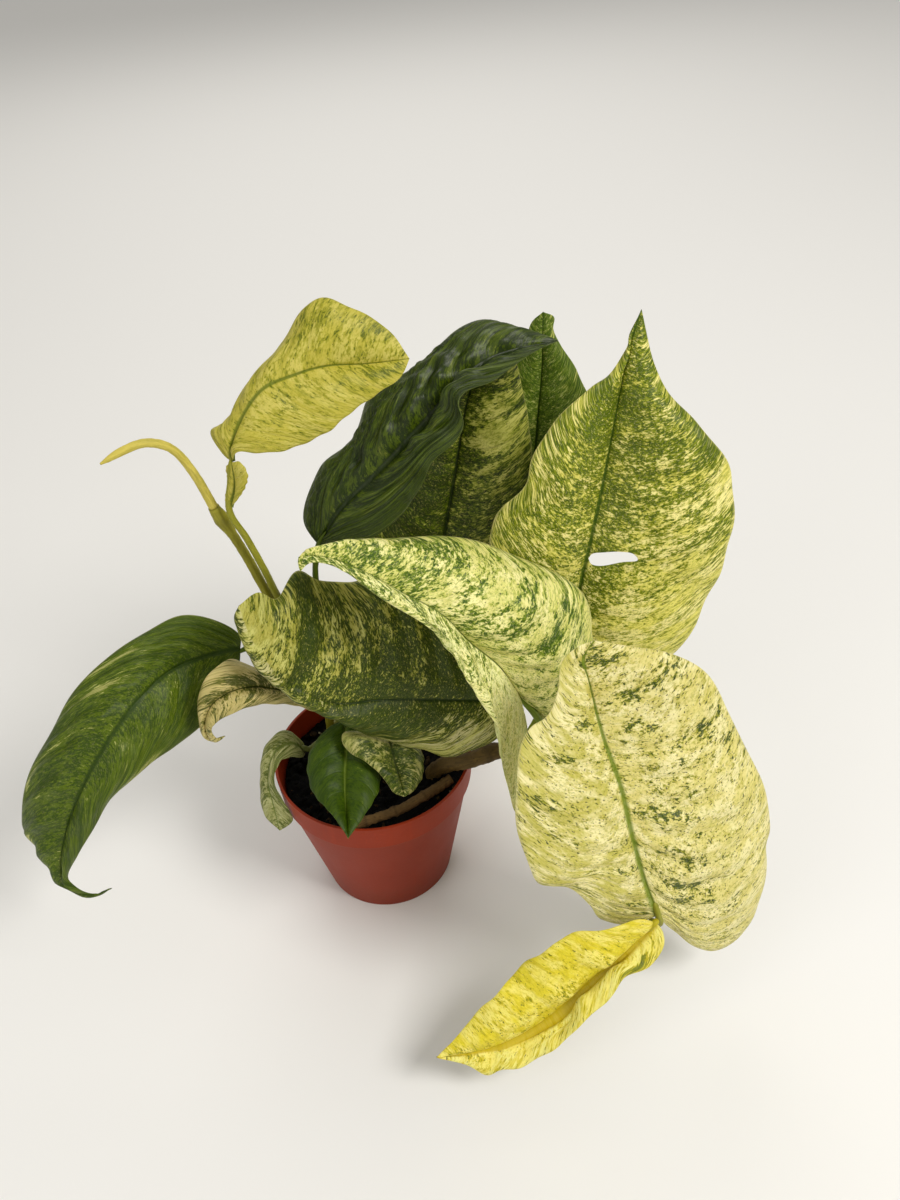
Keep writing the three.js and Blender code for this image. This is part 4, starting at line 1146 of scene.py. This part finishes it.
def leaf_look(name):
    """All that a leaf's look says, with its colours by name and its midrib's length."""
    look = {**DEFAULT_LOOK, **LOOKS[name], "length": route_length(LEAVES[name]["mid"])}
    return {**look, **{tone: linear(*colour) for tone, colour in zip(TONES, look["tones"])}}


def add_leaf(context, name, seed):
    """One leaf with its stalk, and the sheath on the stalk where the leaf has one, as one piece."""
    sizes = context.scene.plant_sizes
    route, look = LEAVES[name], leaf_look(name)
    shape = Shape()
    add_blade(shape, route, look, sizes, seed)
    if "sheath" in route:
        sheath = {**look, **SHEATH_LOOK, "length": route_length(route["sheath"]["mid"])}
        add_blade(shape, route["sheath"], sheath, sizes, seed)
    foot, end = STALK_RADII
    share = np.linspace(0, 1, STALK_STEPS + 1)
    radii = (foot + (end - foot) * share) * MM * (1 - 0.85 * late(share, 0.9, 0.1))
    centres = smooth_route(points(route["stalk"]), STALK_STEPS)
    add_tube(shape, centres, radii, STALK_SIDES, finish=1, node_at=(0.0,), rough=0.04 * MM, seed=seed)
    fit_inside(shape, name)
    blade = leaf_finish(f"{name}_marbling", look, seed * 3.7)
    skin = stem_finish(f"{name}_stalk_skin", look["fresh"], shaded(look["fresh"], 0.6), 0.4, 1.2, 0.2)
    piece = shape.make(f"{name}_fine", name, [blade, skin])
    if name == SLIT["leaf"]:
        cut_away(piece, slit_cutter())


def slit_cutter():
    """A closed prism that stands through the blade, with the slit's outline."""
    corners = np.array([(x, y, 0.0) for x, y in SLIT["outline"]])
    outline = smooth_route(np.vstack([corners, corners[:1]]) * MM, 60)[:-1, :2] / MM
    turned = np.array(Matrix.Rotation(SLIT["lean"], 3, "X") @ Matrix.Rotation(SLIT["turn"], 3, "Z"))
    vertices, faces = prism(outline, SLIT["depth"])
    return make_cutter(vertices @ turned.T + SLIT["centre"], faces)


def fit_inside(shape, node):
    """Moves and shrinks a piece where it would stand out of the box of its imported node."""
    low, high = (np.array(corner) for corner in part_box(node))
    own = np.vstack(shape.vertices)
    own_low, own_size = own.min(axis=0), own.max(axis=0) - own.min(axis=0)
    scale = np.minimum(1, (high - low) / own_size)
    target = np.clip(own_low, low, high - own_size * scale)
    shape.vertices = [target + (block - own_low) * scale for block in shape.vertices]


class PLANT_OT_add_leaves(bpy.types.Operator):
    """Adds every leaf with its stalk"""

    bl_idname = "plant.add_leaves"
    bl_label = "Add leaves"

    def execute(self, context):
        for seed, name in enumerate(LEAVES, start=1):
            add_leaf(context, name, seed)
        return {"FINISHED"}


# Stems
def stem_radii(stem):
    """Radii along a stem, with a swelling and a thin ring at each node."""
    share = np.linspace(0, 1, STEM_STEPS + 1)
    foot, end = stem["radii"]
    radii = foot + (end - foot) * share
    for at in stem["nodes"]:
        radii = radii + stem["swelling"] * ridge(share - at, 0.03)
        radii = radii + 0.25 * ridge(share - at, 0.006)
    return radii * MM


class PLANT_OT_add_stems(bpy.types.Operator):
    """Adds the stems and the rolled new leaf"""

    bl_idname = "plant.add_stems"
    bl_label = "Add stems"

    def execute(self, context):
        skins = {}
        for slot, (name, colour, dark, gloss, streak, pores, _) in STEM_SKINS.items():
            shade = tuple(getattr(context.scene.plant_colours, colour))
            skins[slot] = stem_finish(name, shade, shaded(shade, dark), gloss, streak, pores)
        for seed, (name, stem) in enumerate(STEMS.items(), start=101):
            slot = stem["slot"]
            centres = smooth_route(points(stem["route"]), STEM_STEPS)
            shape = Shape()
            add_tube(shape, centres, stem_radii(stem), STEM_SIDES, node_at=stem["nodes"],
                     rough=STEM_SKINS[slot][-1] * MM, seed=seed)
            shape.make(f"{name}_fine", name, [skins[slot]])
        self.add_rolled_leaf()
        return {"FINISHED"}

    def add_rolled_leaf(self):
        """A new leaf, still wound up into a slim point"""
        share = np.linspace(0, 1, ROLLED_STEPS + 1)
        radii = (1.85 - 0.35 * share - 1.1 * late(share, 0.85, 0.15)) * MM
        shape = Shape()
        centres = smooth_route(points(ROLLED_LEAF_ROUTE), ROLLED_STEPS)
        add_tube(shape, centres, radii, ROLLED_SIDES, rough=0.03 * MM, seed=9, roll=0.16)
        skin = stem_finish("rolled_leaf_skin", linear(206, 190, 88), linear(150, 142, 50), 0.45, 1.0, 0.25)
        shape.make("leaf_rolled_new_fine", "leaf_rolled_new", [skin])


# Pot and potting mix
def spin(profile, sides):
    """Points of a profile of radius and height turned round the Z axis."""
    radius, height = np.array(profile).T
    flat = radius[:, None, None] * circle(sides)[None]
    return np.concatenate([flat, np.broadcast_to(height[:, None, None], (*flat.shape[:2], 1))], axis=-1)


def rounded(profile, radius, steps=4):
    """A profile whose corners are rounded by up to radius."""
    made = [profile[0]]
    for before, corner, after in zip(profile, profile[1:], profile[2:]):
        before, corner, after = (np.array(p, float) for p in (before, corner, after))
        back, on = before - corner, after - corner
        cut = min(radius, np.linalg.norm(back) * 0.45, np.linalg.norm(on) * 0.45)
        start, end = corner + unit(back) * cut, corner + unit(on) * cut
        for t in np.linspace(0, 1, steps + 1):
            made.append(tuple((1 - t) ** 2 * start + 2 * t * (1 - t) * corner + t ** 2 * end))
    return [*made, profile[-1]]


def drain_cutter():
    """Upright cylinders through the pot's floor, one for each drain hole."""
    outline = DRAIN_HOLE_RADIUS * circle(32)
    vertices, faces = [], []
    for hole in range(DRAIN_HOLES):
        turn = hole * 2 * math.pi / DRAIN_HOLES
        centre = DRAIN_CIRCLE_RADIUS * np.array([math.cos(turn), math.sin(turn)])
        corners, sides = prism(outline + centre, 4 * POT_FLOOR)
        faces += [tuple(hole * len(corners) + k for k in face) for face in sides]
        vertices.append(corners + (0, 0, POT_FLOOR / 2))
    return make_cutter(np.vstack(vertices), faces)


class PLANT_OT_add_pot(bpy.types.Operator):
    """Adds the pot with its rim band, foot ring and drain holes"""

    bl_idname = "plant.add_pot"
    bl_label = "Add pot"

    def execute(self, context):
        profile = rounded([
            (0, BASE_RECESS), (BASE_RECESS_RADIUS, BASE_RECESS), (BASE_RECESS_RADIUS + BASE_RECESS_SLOPE, 0),
            (POT_BASE_RADIUS, 0), (WALL_TOP_RADIUS, BAND_FOOT), (BAND_FOOT_RADIUS, BAND_FOOT),
            (POT_RIM_RADIUS, POT_HEIGHT), (POT_RIM_RADIUS - POT_WALL, POT_HEIGHT),
            (WALL_TOP_RADIUS - POT_WALL + WALL_TOP_THINNING, BAND_FOOT),
            (POT_BASE_RADIUS - POT_WALL, POT_FLOOR), (0, POT_FLOOR),
        ], POT_ROUNDING)
        shape = Shape()
        shape.add(spin(profile, POT_SIDES) * MM, grid_faces(len(profile) - 1, POT_SIDES, closed=True))
        finish = pot_finish(tuple(context.scene.plant_colours.pot))
        piece = shape.make("pot_fine", "pot", [finish])
        cut_away(piece, drain_cutter())
        piece.modifiers.new("crisp", "WEIGHTED_NORMAL")
        return {"FINISHED"}


class PLANT_OT_add_mix(bpy.types.Operator):
    """Adds the potting mix with its chips"""

    bl_idname = "plant.add_mix"
    bl_label = "Add potting mix"

    def execute(self, context):
        colours = context.scene.plant_colours
        bottom, base = POT_FLOOR + MIX_GAP, POT_BASE_RADIUS - POT_WALL - MIX_GAP
        lower = [(0, bottom), (base, bottom), (MIX_RADIUS, BAND_FOOT)]
        profile = lower + [(MIX_RADIUS * share, MIX_LEVEL) for share in np.linspace(1, 0, MIX_RINGS)]
        surface = spin(profile, MIX_SIDES)
        top = surface[len(lower):]
        x, y = top[..., 0], top[..., 1]
        inward = np.clip(5 * (1 - np.hypot(x, y) / MIX_RADIUS), 0, 1)
        swells = np.sin(0.31 * x + 1.3) * np.cos(0.27 * y) + 0.6 * np.sin(0.23 * x - 0.41 * y)
        crumbs = rumple(top, 5, 301) * 0.7 + rumple(top, 2.2, 302, 12) * 0.5
        top[..., 2] += MIX_SWELL * swells * inward + context.scene.plant_sizes.mix_relief / MM * crumbs
        shape = Shape()
        shape.add(surface * MM, grid_faces(len(profile) - 1, MIX_SIDES, closed=True))
        add_chips(shape, MIX_RADIUS)
        soil = mix_finish("damp_mix", tuple(colours.mix), linear(40, 36, 18), 0.1)
        chips = mix_finish("bark_chips", tuple(colours.chip), linear(92, 74, 44), 0.2)
        grit = mix_finish("pale_grit", linear(120, 112, 84), linear(160, 152, 120), 0.3)
        shape.make("potting_mix_fine", "potting_mix", [soil, chips, grit])
        return {"FINISHED"}


def icosahedron():
    """Twelve corners at a distance of 1 and the faces between them."""
    golden = (1 + math.sqrt(5)) / 2
    signs = list(itertools.product((1, -1), repeat=2))
    corners = unit(np.array([(s, t * golden, 0) for s, t in signs] + [(0, s, t * golden) for s, t in signs]
                            + [(s * golden, 0, t) for s, t in signs], float))
    faces = []
    for face in itertools.combinations(range(12), 3):
        a, b, c = corners[list(face)]
        if max(np.linalg.norm(b - a), np.linalg.norm(c - b), np.linalg.norm(c - a)) < 1.1:
            faces.append(face if np.cross(b - a, c - a) @ a > 0 else face[::-1])
    return corners, faces


def add_chips(shape, radius):
    """Small angular lumps scattered over the mix: crumbs, bark chips and a little pale grit."""
    draw = random.Random(77)
    corners, faces = icosahedron()
    for _ in range(CHIP_COUNT):
        reach = radius * math.sqrt(draw.uniform(0, 0.93))
        turn = draw.uniform(0, 2 * math.pi)
        size = draw.choice(CHIP_SIZES)
        kind = draw.choices((0, 1, 2), (0.66, 0.26, 0.08))[0]
        stretch = np.array([draw.uniform(0.8, 1.9), draw.uniform(0.6, 1.2), draw.uniform(0.35, 0.8)]) * size
        if kind == 2:
            stretch = stretch * 0.5
        jitter = np.array([[draw.uniform(0.75, 1.2) for _ in range(3)] for _ in corners])
        turned = Matrix.Rotation(draw.uniform(0, 6.3), 3, "Z")
        tilted = Matrix.Rotation(draw.uniform(-0.5, 0.5), 3, "X")
        lump = (corners * jitter * stretch) @ np.array(turned @ tilted).T
        x, y = reach * math.cos(turn), reach * math.sin(turn)
        place = np.array([x, y, MIX_LEVEL + 0.35 + draw.uniform(-0.2, 0.7)])
        shape.add((lump + place) * MM, faces, kind)


# Floor, light and camera
class PLANT_OT_add_stage(bpy.types.Operator):
    """Adds the floor, soft studio light and the camera"""

    bl_idname = "plant.add_stage"
    bl_label = "Add stage"

    def execute(self, context):
        self.add_floor(context)
        for name, (place, size, power) in LIGHTS.items():
            lamp = bpy.data.lights.new(name, "AREA")
            lamp.size = size
            lamp.energy = power
            lamp.color = LIGHT_COLOUR
            light = set_in_scene(name, lamp)
            light.location = place
            light.rotation_euler = (Vector(LIGHT_AIM) - Vector(place)).to_track_quat("-Z", "Y").to_euler()
        self.add_sky(context)
        self.add_camera(context)
        return {"FINISHED"}

    def add_floor(self, context):
        corners = [(x * FLOOR_HALF, y * FLOOR_HALF, 0) for x, y in ((-1, -1), (1, -1), (1, 1), (-1, 1))]
        mesh = bpy.data.meshes.new("floor")
        mesh.from_pydata(corners, [], [(0, 1, 2, 3)])
        finish = Finish("pale_floor")
        cloud = finish.noise(finish.object_place(), scale=3, detail=3)
        shade = tuple(context.scene.plant_colours.floor)
        colour = finish.blend(cloud * 0.3, shade, shaded(shade, 0.97))
        mesh.materials.append(finish.close(Base_Color=colour, Roughness=0.6 + 0.1 * cloud))
        floor = set_in_scene("floor", mesh)

    def add_sky(self, context):
        world = bpy.data.worlds.new("soft_sky")
        world.use_nodes = True
        back = world.node_tree.nodes["Background"]
        back.inputs["Color"].default_value = SKY_COLOUR
        back.inputs["Strength"].default_value = SKY_STRENGTH
        context.scene.world = world
        context.scene.view_settings.view_transform = "Standard"

    def add_camera(self, context):
        data = bpy.data.cameras.new("camera")
        data.lens = CAMERA_LENS
        data.sensor_width = CAMERA_SENSOR
        data.clip_start = 0.01
        camera = set_in_scene("camera", data)
        down = math.radians(CAMERA_DOWN)
        roll = math.radians(CAMERA_ROLL)
        ahead = Vector((0, math.cos(down), -math.sin(down)))
        level_up = Vector((1, 0, 0)).cross(ahead)
        aside = Vector((1, 0, 0)) * math.cos(roll) + level_up * math.sin(roll)
        up = Vector((-1, 0, 0)) * math.sin(roll) + level_up * math.cos(roll)
        turned = Matrix((aside, up, -ahead)).transposed().to_4x4()
        camera.matrix_world = Matrix.Translation(Vector(CAMERA_PLACE) * MM) @ turned
        context.scene.camera = camera


class PLANT_PT_panel(bpy.types.Panel):
    """Lists the plant's operators, sizes and colours"""

    bl_label = "Potted aroid"
    bl_space_type = "VIEW_3D"
    bl_region_type = "UI"
    bl_category = "Plant"

    def draw(self, context):
        for operator in OPERATORS:
            self.layout.operator(operator.bl_idname)
        for group in (context.scene.plant_sizes, context.scene.plant_colours):
            box = self.layout.box()
            for name in group.bl_rna.properties.keys():
                if name not in ("rna_type", "name"):
                    box.prop(group, name)


OPERATORS = (PLANT_OT_add_stage, PLANT_OT_add_pot, PLANT_OT_add_mix, PLANT_OT_add_stems, PLANT_OT_add_leaves)
CLASSES = (PlantSizes, PlantColours, *OPERATORS, PLANT_PT_panel)


def register():
    for kind in CLASSES:
        bpy.utils.register_class(kind)
    bpy.types.Scene.plant_sizes = PointerProperty(type=PlantSizes)
    bpy.types.Scene.plant_colours = PointerProperty(type=PlantColours)


def unregister():
    del bpy.types.Scene.plant_colours
    del bpy.types.Scene.plant_sizes
    for kind in reversed(CLASSES):
        bpy.utils.unregister_class(kind)


def main():
    register()
    bpy.ops.plant.add_stage()
    bpy.ops.plant.add_pot()
    bpy.ops.plant.add_mix()
    bpy.ops.plant.add_stems()
    bpy.ops.plant.add_leaves()


if __name__ == "__main__":
    main()
